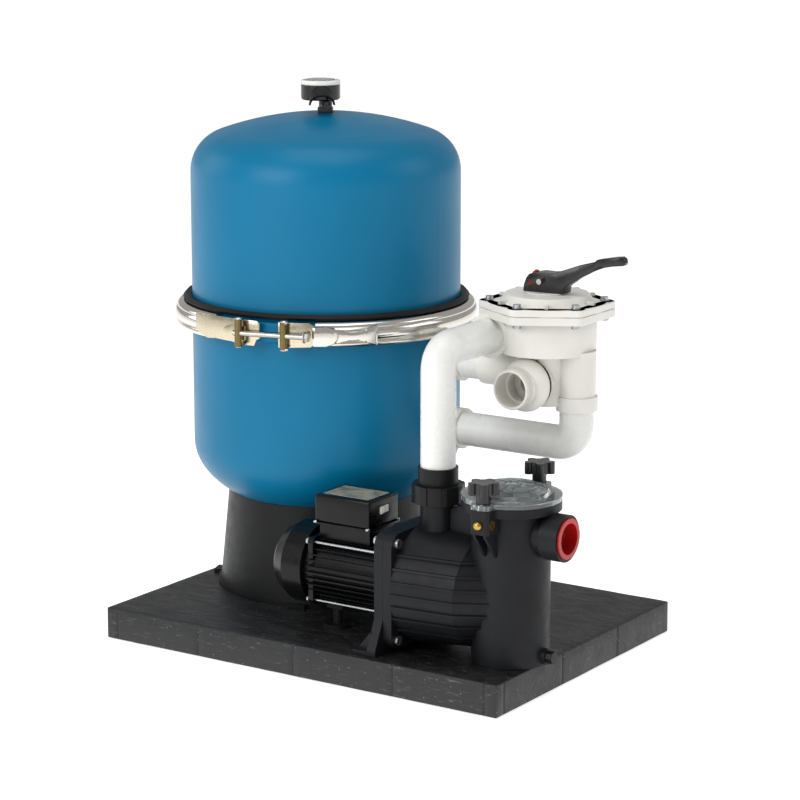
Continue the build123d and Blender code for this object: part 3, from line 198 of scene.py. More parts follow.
def two_tone(material, pattern, first, second, start=0.3, end=0.7, most=1.0):
    """A colour that goes from the first to the second with a pattern."""
    sockets = {"Value": pattern, "From Min": start, "From Max": end, "To Min": 0.0, "To Max": most}
    part = add_node(material, "ShaderNodeMapRange", sockets).outputs[0]
    mix = add_node(material, "ShaderNodeMix", {0: part, 6: first, 7: second}, data_type="RGBA")
    return mix.outputs[2]


def uneven_gloss(material, shader, pattern, low, high):
    """Lets the roughness follow a pattern's middle range."""
    sockets = {"Value": pattern, "From Min": 0.3, "From Max": 0.7, "To Min": low, "To Max": high}
    join(material, add_node(material, "ShaderNodeMapRange", sockets).outputs[0], shader, "Roughness")


def broken_surface(material, shader, layers, edge_mm):
    """Softens sharp edges, then raises (pattern, depth_mm, strength) layers on the surface."""
    normal = add_node(material, "ShaderNodeBevel", {"Radius": edge_mm * MM}, samples=4).outputs[0]
    for pattern, depth_mm, strength in layers:
        sockets = {"Height": pattern, "Distance": depth_mm * MM, "Strength": strength, "Normal": normal}
        normal = add_node(material, "ShaderNodeBump", sockets).outputs[0]
    join(material, normal, shader, "Normal")


def moulded(name, colour, shade, rough, grain_mm, grain_depth_mm, edge_mm=0.7, mottle_mm=45, **extra):
    """A moulded plastic: a slow drift of tone, a fine tool grain and edges broken by the mould."""
    material, shader, place = start_material(name, extra)
    drift = add_node(material, "ShaderNodeTexNoise", clouds(place, mottle_mm, 5.0, 0.55)).outputs[0]
    join(material, two_tone(material, drift, colour, shade), shader, "Base Color")
    patches = clouds(place, mottle_mm * 0.35, 6.0, 0.6)
    handling = add_node(material, "ShaderNodeTexNoise", patches).outputs[0]
    uneven_gloss(material, shader, handling, rough - 0.05, rough + 0.07)
    grain = add_node(material, "ShaderNodeTexNoise", clouds(place, grain_mm, 2.0)).outputs[0]
    broken_surface(material, shader, [(grain, grain_depth_mm, 0.5)], edge_mm)
    return material


def metal(name, colour, shade, rough, line_mm, stretch=(1, 1, 12), edge_mm=0.4, depth_mm=0.01):
    """A bare metal with fine lines left by polishing or turning, and edges broken by handling."""
    material, shader, place = start_material(name, {"Metallic": 1.0})
    drawn = add_node(material, "ShaderNodeMapping", {"Vector": place, "Scale": stretch}).outputs[0]
    lines = add_node(material, "ShaderNodeTexNoise", clouds(drawn, line_mm, 4.0, 0.6)).outputs[0]
    join(material, two_tone(material, lines, colour, shade), shader, "Base Color")
    smear = add_node(material, "ShaderNodeTexNoise", clouds(place, 18, 4.0, 0.6)).outputs[0]
    uneven_gloss(material, shader, smear, rough * 0.75, rough * 1.5)
    broken_surface(material, shader, [(lines, depth_mm, 0.35)], edge_mm)
    return material


# ------------------------------------------------------------------ the finishes
def recycled_slab():
    """Recycled PVC, pressed warm: flow marks, pale scuffs and foreign specks in a near-black body."""
    material, shader, place = start_material("recycled_pvc_slab", {"Specular IOR Level": 0.5})
    turned = {"Vector": place, "Scale": (1.0, 2.6, 2.6), "Rotation": (0, 0, 0.25)}
    flow_place = add_node(material, "ShaderNodeMapping", turned).outputs[0]
    flow = add_node(material, "ShaderNodeTexNoise", clouds(flow_place, 70, 8.0, 0.62, 1.6)).outputs[0]
    body = two_tone(material, flow, linear_colour("08080A"), linear_colour("1A1B1C"))
    turned = {"Vector": place, "Scale": (1.0, 9.0, 9.0), "Rotation": (0, 0, -0.6)}
    scuff_place = add_node(material, "ShaderNodeMapping", turned).outputs[0]
    scuffs = add_node(material, "ShaderNodeTexNoise", clouds(scuff_place, 22, 9.0, 0.7, 0.6)).outputs[0]
    marked = two_tone(material, scuffs, body, linear_colour("6A6B6D"), 0.58, 0.70, 0.7)
    sockets = {"Vector": place, "Scale": per_metre(9)}
    cells = add_node(material, "ShaderNodeTexVoronoi", sockets, feature="F1").outputs["Distance"]
    specks = two_tone(material, cells, linear_colour("8A8B8C"), marked, 0.05, 0.10)
    join(material, specks, shader, "Base Color")
    uneven_gloss(material, shader, flow, 0.36, 0.58)
    pits = add_node(material, "ShaderNodeTexNoise", clouds(place, 3.2, 5.0, 0.65)).outputs[0]
    broken_surface(material, shader, [(flow, 1.6, 0.55), (pits, 0.5, 0.45)], 1.2)
    return material


def tank_shell(colour):
    """Rotomoulded polyethylene: an even blue skin, a broad satin sheen, the faintest orange peel."""
    material, shader, place = start_material(
        "rotomoulded_polyethylene_blue", {"IOR": 1.5, "Specular IOR Level": 0.2}
    )
    drift = add_node(material, "ShaderNodeTexNoise", clouds(place, 240)).outputs[0]
    deep = tuple(c * 0.86 for c in colour[:3]) + (1.0,)
    join(material, two_tone(material, drift, colour, deep), shader, "Base Color")
    sheen = add_node(material, "ShaderNodeTexNoise", clouds(place, 60, 5.0, 0.6)).outputs[0]
    uneven_gloss(material, shader, sheen, 0.33, 0.40)
    peel = add_node(material, "ShaderNodeTexNoise", clouds(place, 5.5)).outputs[0]
    broken_surface(material, shader, [(peel, 0.09, 0.35)], 1.0)
    return material


def clear_moulding(name, tint, rough):
    """Clear polycarbonate: the piece below shows through a slight smoke and small moulding waves."""
    material, shader, place = start_material(
        name, {"IOR": 1.45, "Transmission Weight": 0.92, "Base Color": tint}
    )
    haze = add_node(material, "ShaderNodeTexNoise", clouds(place, 14, 4.0, 0.6)).outputs[0]
    uneven_gloss(material, shader, haze, rough, rough + 0.06)
    waves = add_node(material, "ShaderNodeTexNoise", clouds(place, 9, 2.0)).outputs[0]
    broken_surface(material, shader, [(waves, 0.08, 0.4)], 0.3)
    return material


def filter_sand():
    """Quartz sand, 0.4 to 0.8 mm: drawn at 1.2 mm so that the grains show."""
    material, shader, place = start_material("quartz_filter_sand")
    grain = add_node(material, "ShaderNodeTexNoise", clouds(place, 1.2, 3.0, 0.6)).outputs[0]
    tone = two_tone(material, grain, linear_colour("C9B48A"), linear_colour("8A744E"))
    join(material, tone, shader, "Base Color")
    uneven_gloss(material, shader, grain, 0.75, 0.95)
    broken_surface(material, shader, [(grain, 0.6, 0.8)], 0.5)
    return material


def make_finishes(look):
    """Every finish on the filter set, by the name that the pieces ask for."""
    black = linear_colour("121314")
    white = tuple(look.fitting_white)
    off_white = tuple(c * 0.9 for c in white[:3]) + (1.0,)
    pump = tuple(look.pump_grey)
    pump_dark = tuple(c * 0.7 for c in pump[:3]) + (1.0,)
    red = tuple(look.plug_red)
    red_deep = tuple(c * 0.6 for c in red[:3]) + (1.0,)
    return {
        "slab": recycled_slab(),
        "tank": tank_shell(tuple(look.tank_blue)),
        # Polypropylene from a satin tool: an even, low sheen.
        "skirt": moulded(
            "moulded_polypropylene_black", black, linear_colour("0D0E0F"),
            0.42, 2.2, 0.10, **MATT,
        ),
        # EPDM: deep black with a greyish bloom.
        "rubber": moulded(
            "epdm_rubber", linear_colour("0C0C0D"), linear_colour("161617"),
            0.5, 1.4, 0.06, **MATT,
        ),
        # Stainless strip, bright polished: near-mirror with drawn lines along the strip.
        "stainless": metal(
            "polished_stainless_strip", linear_colour("E3DFD8"), linear_colour("C9C3B8"),
            0.13, 5, (1, 1, 14),
        ),
        # The closure's pressings are left as rolled: a warm, softer shine.
        "champagne": metal(
            "rolled_stainless_sheet", linear_colour("D9CFB8"), linear_colour("B5A98F"),
            0.2, 4, (1, 1, 10),
        ),
        # Yellow-passivated zinc on the trunnions.
        "passivated": metal(
            "yellow_passivated_steel", linear_colour("8C7C50"), linear_colour("5A4F33"),
            0.3, 2, (1, 1, 4),
        ),
        # Stainless bar, turned: duller than the strip.
        "turned_steel": metal(
            "turned_stainless_bar", linear_colour("C8C4BC"), linear_colour("8F8B84"),
            0.27, 1.5, (1, 1, 5),
        ),
        # Zinc on steel: a cool grey, slightly clouded.
        "zinc": metal(
            "zinc_plated_steel", linear_colour("C9CBCD"), linear_colour("9DA0A3"),
            0.3, 2.5, (1, 1, 3),
        ),
        # Free-cutting brass: a yellow metal with turned lines.
        "brass": metal(
            "machined_brass", linear_colour("D9B25A"), linear_colour("A57F34"),
            0.26, 1.2, (5, 5, 1),
        ),
        # Injection-moulded ABS: a warm off-white with a soft satin.
        "fitting": moulded(
            "moulded_abs_white", white, off_white,
            0.36, 1.8, 0.05, mottle_mm=70, IOR=1.5,
        ),
        # Extruded uPVC pipe: whiter and glossier than the mouldings, with faint lines along it.
        "pipe": moulded(
            "extruded_upvc_pipe", linear_colour("E9E9E6"), linear_colour("E0E0DB"),
            0.27, 6, 0.03, mottle_mm=90,
        ),
        # Glass-filled polypropylene: a charcoal that scatters light, with fibre grain.
        "pump": moulded(
            "glass_filled_polypropylene", pump, pump_dark,
            0.46, 1.1, 0.12, 0.9, **MATT,
        ),
        # Glossy nylon for the lever and the knobs.
        "lever": moulded(
            "glass_filled_nylon_gloss", linear_colour("0B0B0C"), linear_colour("060607"),
            0.2, 3, 0.04,
        ),
        # Powder-painted cast aluminium: a gloss black skin with orange peel.
        "motor": moulded(
            "stove_enamelled_aluminium", linear_colour("060607"), linear_colour("0C0D0E"),
            0.27, 2.4, 0.07, **MATT,
        ),
        "clear": clear_moulding("clear_polycarbonate", linear_colour("DDE3E4"), 0.05),
        "lens": clear_moulding("clear_gauge_lens", linear_colour("F4F6F6"), 0.03),
        # Polypropylene plug: a full red, low gloss.
        "red": moulded("moulded_polypropylene_red", red, red_deep, 0.34, 2, 0.05),
        "sand": filter_sand(),
        # Winding packs and laminations, dark and banded.
        "core": metal(
            "laminated_core_steel", linear_colour("6E6A64"), linear_colour("45423E"),
            0.45, 1, (14, 1, 1),
        ),
        # White enamel on a tin dial.
        "dial": moulded(
            "enamelled_dial", linear_colour("F5F5F2"), linear_colour("EAEAE6"),
            0.3, 3, 0.01,
        ),
        # Printed ink.
        "ink": moulded("dial_ink", linear_colour("151515"), linear_colour("222222"), 0.5, 1, 0.01),
        # Anodised label foil, blank: a champagne grey.
        "foil": metal(
            "anodised_label_foil", linear_colour("C9C1AC"), linear_colour("A39B88"),
            0.55, 2, (8, 1, 1),
        ),
    }


# ------------------------------------------------------------------ pieces
def dress(finishes, finish, *nodes):
    """Gives CAD nodes a finish."""
    for name in nodes:
        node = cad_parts[name]
        if not node.material_slots:
            node.data.materials.append(None)
        for place in node.material_slots:
            place.material = finishes[finish]


def finish_mesh(name, mesh, material, body, smooth_angle=35.0, replaced=()):
    """Turns a bmesh into a piece that rides on a body of the frame."""
    bmesh.ops.remove_doubles(mesh, verts=mesh.verts, dist=0.01 * MM)
    bmesh.ops.recalc_face_normals(mesh, faces=mesh.faces)
    data = bpy.data.meshes.new(name)
    mesh.to_mesh(data)
    mesh.free()
    data.materials.append(material)
    data.shade_smooth()
    data.set_sharp_from_angle(angle=math.radians(smooth_angle))
    piece = bpy.data.objects.new(name, data)
    bpy.context.scene.collection.objects.link(piece)
    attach(piece, body)
    if replaced:
        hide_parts(*replaced)
    return piece


def bevelled_box(mesh, centre, size, edge, segments=2):
    """Adds a box with rounded edges to a bmesh."""
    place = Matrix.Translation(centre) @ Matrix.Diagonal((*size, 1))
    made = bmesh.ops.create_cube(mesh, size=1.0, matrix=place)
    edges = list({e for v in made["verts"] for e in v.link_edges})
    bmesh.ops.bevel(
        mesh,
        geom=edges,
        offset=edge,
        offset_type="OFFSET",
        segments=segments,
        profile=0.5,
        affect="EDGES",
        clamp_overlap=True,
        material=-1,
    )


def spun(mesh, outline, centre, steps=64):
    """Spins an outline of (radius, height) points about an upright axis."""
    points = [mesh.verts.new(centre + Vector((r, 0, z))) for r, z in outline]
    edges = [mesh.edges.new(pair) for pair in zip(points, points[1:])]
    bmesh.ops.spin(
        mesh, geom=points + edges, cent=centre, axis=(0, 0, 1), angle=math.tau, steps=steps, use_merge=True
    )


def swept(mesh, outline, centre, start, sweep, steps):
    """Sweeps a closed outline of (radius, height) in mm part of the way round an upright axis."""
    turn = Matrix.Rotation(math.radians(start), 3, "Z")
    points = [mesh.verts.new(centre + turn @ Vector((r * MM, 0, z * MM))) for r, z in outline]
    edges = [mesh.edges.new((points[i - 1], points[i])) for i in range(len(points))]
    bmesh.ops.spin(
        mesh, geom=points + edges, cent=centre, axis=(0, 0, 1), angle=math.radians(sweep), steps=steps
    )
    open_edges = [e for e in mesh.edges if len(e.link_faces) == 1]
    bmesh.ops.holes_fill(mesh, edges=open_edges, sides=0)


def cut_plate(mesh, outline, thickness, edge, segments=2):
    """Adds a flat plate of (x, z) in mm, from y = 0 to its thickness, with rounded edges."""
    points = [mesh.verts.new(Vector((x * MM, 0, z * MM))) for x, z in outline]
    face = mesh.faces.new(points)
    made = bmesh.ops.extrude_face_region(mesh, geom=[face])
    moved = [v for v in made["geom"] if isinstance(v, bmesh.types.BMVert)]
    bmesh.ops.translate(mesh, verts=moved, vec=(0, thickness * MM, 0))
    verts = points + moved
    bmesh.ops.recalc_face_normals(mesh, faces=list({f for v in verts for f in v.link_faces}))
    if edge:
        bmesh.ops.bevel(
            mesh,
            geom=list({e for v in verts for e in v.link_edges}),
            offset=edge * MM,
            offset_type="OFFSET",
            segments=segments,
            profile=0.5,
            affect="EDGES",
            clamp_overlap=True,
            material=-1,
        )


def absorb(mesh, part):
    """Moves a separate bmesh's geometry into a piece's bmesh."""
    data = bpy.data.meshes.new("part")
    part.to_mesh(data)
    part.free()
    mesh.from_mesh(data)
    bpy.data.meshes.remove(data)


def wrapped_plate(mesh, outline, radius, thickness, edge):
    """Bends a plate round the tank: x runs along the band from the closure, z from the parting."""
    part = bmesh.new()
    cut_plate(part, outline, thickness, edge)
    low = min(x for x, z in outline)
    high = max(x for x, z in outline)
    step = 5
    for k in range(int((high - low) / step)):
        bmesh.ops.bisect_plane(
            part,
            geom=part.verts[:] + part.edges[:] + part.faces[:],
            plane_co=((low + (k + 0.5) * step) * MM, 0, 0),
            plane_no=(1, 0, 0),
        )
    bmesh.ops.triangulate(part, faces=part.faces)
    for vert in part.verts:
        angle = math.radians(CLOSURE_ANGLE) + vert.co.x / (BAND_RADIUS * MM)
        reach = radius * MM + vert.co.y
        vert.co = TANK + Vector((reach * math.cos(angle), reach * math.sin(angle), PARTING + vert.co.z))
    absorb(mesh, part)


def on_band(along, radius, height=0.0):
    """A point in mm along the band from the closure's middle, at a radius, above the parting."""
    angle = math.radians(CLOSURE_ANGLE) + along / BAND_RADIUS
    reach = radius * MM
    return TANK + Vector((reach * math.cos(angle), reach * math.sin(angle), PARTING + height * MM))


def turned_bar(mesh, outline, start, direction, steps=24):
    """Spins an outline of (radius, distance) in mm about a line from start along direction."""
    way = Vector(direction).normalized()
    side = way.orthogonal().normalized()
    points = [mesh.verts.new(start + side * (r * MM) + way * (d * MM)) for r, d in outline]
    edges = [mesh.edges.new(pair) for pair in zip(points, points[1:])]
    bmesh.ops.spin(
        mesh, geom=points + edges, cent=start, axis=way, angle=math.tau, steps=steps, use_merge=True
    )


def hexagon_ring(mesh, centre, low, high):
    """Adds a six-sided plate with rounded corners and a round bore, between two heights in mm."""
    reach = (FLANGE_FLAT - FLANGE_CORNER) / math.cos(math.radians(30))
    outer, inner = [], []
    for corner in range(6):
        for step in range(7):
            middle = math.radians(30 + 60 * corner)
            turn = middle + math.radians(10 * (step - 3))
            x = reach * math.cos(middle) + FLANGE_CORNER * math.cos(turn)
            y = reach * math.sin(middle) + FLANGE_CORNER * math.sin(turn)
            outer.append((x, y))
            away = math.hypot(x, y)
            inner.append((x * FLANGE_BORE / away, y * FLANGE_BORE / away))
    # The edges are broken by this height, and drawn in to this share of the outline.
    broken, soft = 0.8, 0.99
    rings = [
        [mesh.verts.new(centre + Vector((x * k * MM, y * k * MM, z * MM))) for x, y in points]
        for points, k, z in (
            (inner, 1, low),
            (outer, soft, low),
            (outer, 1, low + broken),
            (outer, 1, high - broken),
            (outer, soft, high),
            (inner, 1, high),
            (inner, 1, low),
        )
    ]
    for one, two in zip(rings, rings[1:]):
        for i in range(len(one)):
            mesh.faces.new((one[i - 1], one[i], two[i], two[i - 1]))


def half_width(along):
    """The valve lever's half width in mm at a distance from the valve's axis."""
    for (start, first), (end, second) in zip(LEVER_HALF_WIDTH, LEVER_HALF_WIDTH[1:]):
        if along <= end:
            return first + (second - first) * (along - start) / (end - start)
    return LEVER_HALF_WIDTH[-1][1]


class FILTER_OT_slab(bpy.types.Operator):
    """Makes the pressed base slab with its side seams"""

    bl_idname = "filter_set.slab"
    bl_label = "Base slab"

    def execute(self, context):
        sizes = context.scene.filter_sizes
        low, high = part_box("base_plate")
        mesh = bmesh.new()
        centre = (low + high) / 2
        bevelled_box(mesh, centre, high - low, sizes.slab_edge, 2)
        length = high.x - low.x
        depth = high.y - low.y
        cuts = [(low.x + length * part, "x") for part in (0.03, 0.25, 0.5, 0.75, 0.97)]
        cuts += [(low.y + depth * part, "y") for part in (0.04, 0.36, 0.68)]
        for value, way in cuts:
            axis = Vector((1, 0, 0)) if way == "x" else Vector((0, 1, 0))
            for side in (-1.4 * MM, 0.0, 1.4 * MM):
                bmesh.ops.bisect_plane(
                    mesh,
                    geom=mesh.verts[:] + mesh.edges[:] + mesh.faces[:],
                    plane_co=axis * (value + side),
                    plane_no=axis,
                )
        for value, way in cuts:
            along, across = (0, 1) if way == "x" else (1, 0)
            middle = centre[across]
            half = (high - low)[across] / 2
            for vert in mesh.verts:
                on_seam = abs(vert.co[along] - value) < 0.3 * MM
                if on_seam and abs(abs(vert.co[across] - middle) - half) < 0.1 * MM:
                    vert.co[across] -= math.copysign(sizes.seam_depth, vert.co[across] - middle)
        step = 12 * MM
        for axis_index in (0, 1):
            axis = Vector((1, 0, 0)) if axis_index == 0 else Vector((0, 1, 0))
            count = int((high - low)[axis_index] / step)
            for k in range(1, count):
                at = low[axis_index] + k * (high - low)[axis_index] / count
                bmesh.ops.bisect_plane(
                    mesh,
                    geom=mesh.verts[:] + mesh.edges[:] + mesh.faces[:],
                    plane_co=axis * at,
                    plane_no=axis,
                )
        bmesh.ops.triangulate(mesh, faces=mesh.faces)
        slab = finish_mesh(
            "base_slab", mesh, SHARED["slab"], "unit", 40.0, ("base_plate",)
        )
        swell = bpy.data.textures.new("slab_unevenness", "CLOUDS")
        swell.noise_scale = 0.05
        uneven = slab.modifiers.new("unevenness", "DISPLACE")
        uneven.texture = swell
        uneven.texture_coords = "LOCAL"
        uneven.strength = 0.9 * MM
        uneven.mid_level = 0.5
        return {"FINISHED"}


class FILTER_OT_tank(bpy.types.Operator):
    """Finishes the tank, its skirt, its seals and its inside"""

    bl_idname = "filter_set.tank"
    bl_label = "Tank"

    def execute(self, context):
        dress(SHARED, "tank", "tank_lower_shell", "tank_upper_shell")
        dress(SHARED, "skirt", "tank_skirt")
        dress(SHARED, "rubber", "tank_seals")
        dress(SHARED, "fitting", "tank_bulkheads", "inlet_diffuser")
        dress(SHARED, "fitting", "collector_hub", "collector_laterals")
        dress(SHARED, "sand", "sand_bed")
        return {"FINISHED"}


class FILTER_OT_clamp(bpy.types.Operator):
    """Finishes the clamp band and its closure"""

    bl_idname = "filter_set.clamp"
    bl_label = "Clamp band"

    def execute(self, context):
        dress(SHARED, "stainless", "clamp_band")
        dress(SHARED, "turned_steel", "clamp_bolt")
        dress(SHARED, "passivated", "clamp_trunnions")
        mesh = bmesh.new()
        swept(mesh, BAND_SECTION, TANK + Vector((0, 0, PARTING)), CLOSURE_ANGLE + 17, 317, 220)
        finish_mesh("clamp_ring", mesh, SHARED["stainless"], "unit", 50.0, ("clamp_band",))
        plates = (
            ("closure_plate_left", LEFT_PLATE, 227.4, 2.2, 0.7, "champagne"),
            ("closure_loop_left", LEFT_LOOP, 229.5, 2.0, 0.9, "champagne"),
            ("closure_plate_right", RIGHT_PLATE, 227.4, 2.2, 0.7, "champagne"),
            ("closure_cup", CUP, 226.5, 8.0, 3.4, "stainless"),
            ("closure_neck", NECK, 225.0, 6.0, 2.8, "stainless"),
        )
        for name, outline, radius, thickness, edge, finish in plates:
            mesh = bmesh.new()
            wrapped_plate(mesh, outline, radius, thickness, edge)
            finish_mesh(name, mesh, SHARED[finish], "unit", 40.0)
        mesh = bmesh.new()
        for along in (TRUNNION_LEFT, TRUNNION_RIGHT):
            for way in (1, -1):
                spot = on_band(along, TRUNNION_RADIUS, way * TRUNNION_HALF)
                turned_bar(mesh, TRUNNION_CAP, spot, (0, 0, -way))
        finish_mesh("trunnion_caps", mesh, SHARED["stainless"], "unit")
        return {"FINISHED"}


class FILTER_OT_gauge(bpy.types.Operator):
    """Finishes the pressure gauge and draws its dial"""

    bl_idname = "filter_set.gauge"
    bl_label = "Pressure gauge"

    def execute(self, context):
        sizes = context.scene.filter_sizes
        dress(SHARED, "lever", "gauge_tee", "bleed_screw", "gauge_case")
        dress(SHARED, "ink", "gauge_needle")
        mesh = bmesh.new()
        spun(mesh, [(r * MM, z * MM) for r, z in DRUM_SECTION], GAUGE)
        finish_mesh("gauge_drum", mesh, SHARED["lever"], "unit", 35.0, ("gauge_case",))
        mesh = bmesh.new()
        spun(mesh, [(r * MM, z * MM) for r, z in BEZEL_SECTION], GAUGE)
        finish_mesh("gauge_bezel", mesh, SHARED["pipe"], "unit")
        dress(SHARED, "lens", "gauge_lens")
        face_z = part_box("gauge_needle")[0].z - 0.7 * MM
        mesh = bmesh.new()
        disc = [(0, 0), (24.4 * MM, 0), (24.4 * MM, 0.5 * MM), (0, 0.5 * MM)]
        spun(mesh, disc, GAUGE + Vector((0, 0, face_z)))
        finish_mesh("gauge_dial", mesh, SHARED["dial"], "unit")
        way = Matrix.Rotation(math.radians(-52), 4, "Z") @ Matrix.Rotation(math.radians(36), 4, "Y")
        place = Matrix.Translation(GAUGE + Vector((11 * MM, -14 * MM, 0.797))) @ way
        mesh = bmesh.new()
        points = [mesh.verts.new((x * MM, -r * MM, 0)) for x, r in HOOD_SECTION]
        edges = [mesh.edges.new((points[i - 1], points[i])) for i in range(len(points))]
        bmesh.ops.spin(
            mesh, geom=points + edges, cent=(0, 0, 0), axis=(-1, 0, 0), angle=math.pi, steps=28
        )
        bmesh.ops.holes_fill(mesh, edges=[e for e in mesh.edges if len(e.link_faces) == 1], sides=0)
        bmesh.ops.transform(mesh, matrix=place, verts=mesh.verts)
        finish_mesh("gauge_hood", mesh, SHARED["skirt"], "unit")
        mesh = bmesh.new()
        for index in range(41):
            turn = math.radians(225 - index * 6.75)
            length = sizes.dial_tick if index % 5 == 0 else sizes.dial_tick / 2
            width = 0.7 * MM if index % 5 == 0 else 0.4 * MM
            reach = 22.5 * MM - length / 2
            place = Matrix.Translation(GAUGE + Vector((0, 0, face_z + 0.62 * MM)))
            place @= Matrix.Rotation(turn, 4, "Z") @ Matrix.Translation((reach, 0, 0))
            place @= Matrix.Diagonal((length, width, 0.2 * MM, 1))
            bmesh.ops.create_cube(mesh, size=1.0, matrix=place)
        finish_mesh("gauge_ticks", mesh, SHARED["ink"], "unit")
        return {"FINISHED"}


class FILTER_OT_pipes(bpy.types.Operator):
    """Finishes the white pipes"""

    bl_idname = "filter_set.pipes"
    bl_label = "Pipes"

    def execute(self, context):
        dress(SHARED, "pipe", "riser_pipe", "upper_pipe", "lower_pipe")
        return {"FINISHED"}


class FILTER_OT_valve(bpy.types.Operator):
    """Finishes the six-way valve, its lever and the return union"""

    bl_idname = "filter_set.valve"
    bl_label = "Six-way valve"

    def execute(self, context):
        dress(SHARED, "fitting", "valve_body", "valve_cover", "valve_rotor")
        dress(SHARED, "fitting", "return_union_nut", "return_tailpiece")
        dress(SHARED, "zinc", "valve_cover_bolts", "spring_washer", "valve_spring")
        dress(SHARED, "turned_steel", "handle_pin")
        dress(SHARED, "lever", "handle_lever")
        mesh = bmesh.new()
        cut_plate(mesh, LEVER_SIDE, 1000, 0)
        bmesh.ops.triangulate(mesh, faces=[f for f in mesh.faces if abs(f.normal.y) > 0.5])
        for vert in mesh.verts:
            half = half_width(vert.co.x / MM) * MM
            lowered = 0.0 if vert.co.z < 0.560 else 1.2 * MM
            side = 1 if vert.co.y > 0.1 else -1
            vert.co = Vector((VALVE.x + vert.co.x, VALVE.y + side * (half - lowered), vert.co.z))
        bmesh.ops.dissolve_limit(
            mesh, angle_limit=math.radians(3), verts=mesh.verts, edges=mesh.edges
        )
        bmesh.ops.bevel(
            mesh,
            geom=mesh.edges[:],
            offset=1.6 * MM,
            offset_type="OFFSET",
            segments=3,
            profile=0.5,
            affect="EDGES",
            clamp_overlap=True,
            material=-1,
        )
        finish_mesh(
            "valve_lever", mesh, SHARED["lever"], "handle", 50.0, ("handle_lever",)
        )
        mesh = bmesh.new()
        disc = [(0, 0), (29, 0), (30, 0.6), (30, 1.4), (29.2, 2), (0, 2)]
        top = Vector((0, 0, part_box("valve_cover")[1].z))
        spun(mesh, [(r * MM, z * MM) for r, z in disc], VALVE + top)
        finish_mesh("lever_disc", mesh, SHARED["pipe"], "unit")
        mesh = bmesh.new()
        ring = [mesh.verts.new(VALVE + Vector((x * MM, -r * MM, 0.5425))) for x, r in ACCENT_SECTION]
        edges = [mesh.edges.new((ring[i - 1], ring[i])) for i in range(len(ring))]
        middle = VALVE + Vector((0, 0, 0.5425))
        bmesh.ops.spin(
            mesh, geom=ring + edges, cent=middle, axis=(-1, 0, 0), angle=math.pi, steps=32
        )
        bmesh.ops.holes_fill(mesh, edges=[e for e in mesh.edges if len(e.link_faces) == 1], sides=0)
        finish_mesh("lever_accent", mesh, SHARED["red"], "handle")
        dress(SHARED, "rubber", "return_union_seal")
        mesh = bmesh.new()
        for low, high in FLANGE_PLATES:
            hexagon_ring(mesh, VALVE, low, high)
        finish_mesh("valve_flanges", mesh, SHARED["fitting"], "unit", 40.0)
        near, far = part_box("return_union_nut")
        start = Vector((VALVE.x, far.y, (near.z + far.z) / 2))
        mesh = bmesh.new()
        turned_bar(mesh, UNION_NUT, start, (0, -1, 0), 64)
        finish_mesh(
            "return_nut_skin",
            mesh,
            SHARED["fitting"],
            "return_nut",
            40.0,
            ("return_union_nut",),
        )
        mesh = bmesh.new()
        turned_bar(mesh, UNION_RING, start, (0, -1, 0), 64)
        finish_mesh("return_nut_ring", mesh, SHARED["rubber"], "unit")
        return {"FINISHED"}


class FILTER_OT_pump(bpy.types.Operator):
    """Finishes the pump, its strainer and its inlet and outlet"""

    bl_idname = "filter_set.pump"
    bl_label = "Pump"

    def execute(self, context):
        dress(SHARED, "pump", "pump_body", "motor_flange", "motor_foot", "impeller")
        dress(SHARED, "skirt", "discharge_tail", "discharge_nut", "drain_plug")
        dress(SHARED, "lever", "lid_knob_front", "lid_knob_rear")
        dress(SHARED, "brass", "lid_barrel_nuts")
        dress(SHARED, "clear", "strainer_lid")
        dress(SHARED, "rubber", "lid_seal", "mechanical_seal")
        dress(SHARED, "fitting", "strainer_basket")
        dress(SHARED, "red", "suction_plug")
        dress(SHARED, "zinc", "flange_bolts")
        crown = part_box("strainer_lid")[1].z
        middle = (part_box("strainer_lid")[0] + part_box("strainer_lid")[1]) / 2
        mesh = bmesh.new()
        for index in range(RIB_COUNT):
            part = bmesh.new()
            cut_plate(part, LID_RIB, RIB_THICKNESS, 0.6, 1)
            turn = Matrix.Rotation(math.tau * (index + 0.5) / RIB_COUNT, 4, "Z")
            centred = Matrix.Translation((0, -RIB_THICKNESS / 2 * MM, 0))
            place = Matrix.Translation((middle.x, middle.y, crown)) @ turn @ centred
            bmesh.ops.transform(part, matrix=place, verts=part.verts)
            absorb(mesh, part)
        for outline in LID_RINGS:
            centre = Vector((middle.x, middle.y, crown))
            spun(mesh, [(r * MM, z * MM) for r, z in outline], centre)
        finish_mesh("lid_ribs", mesh, SHARED["clear"], "lid")
        brass_z = (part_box("lid_barrel_nuts")[0].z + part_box("lid_barrel_nuts")[1].z) / 2
        mesh = bmesh.new()
        for side in (-1, 1):
            start = Vector((middle.x, middle.y + side * LUG_REACH * MM, brass_z))
            turned_bar(mesh, LUG_SCREW, start, (0, side, 0))
        finish_mesh("lug_screws", mesh, SHARED["brass"], "unit")
        mesh = bmesh.new()
        for side in (-1, 1):
            for across in (-11, 6):
                part = bmesh.new()
                cut_plate(part, LUG_WEB, 4, 0.8, 1)
                turn = Matrix.Rotation(math.radians(90 * side), 4, "Z")
                place = Matrix.Translation((middle.x + (across + 2 + 2 * side) * MM, middle.y, 0)) @ turn
                bmesh.ops.transform(part, matrix=place, verts=part.verts)
                absorb(mesh, part)
        finish_mesh("lug_webs", mesh, SHARED["pump"], "unit")
        mesh = bmesh.new()
        cut_plate(mesh, NECK_WEB, 12, 1)
        bmesh.ops.translate(mesh, vec=(0, middle.y - 6 * MM, 0), verts=mesh.verts)
        finish_mesh("neck_web", mesh, SHARED["pump"], "unit")
        return {"FINISHED"}


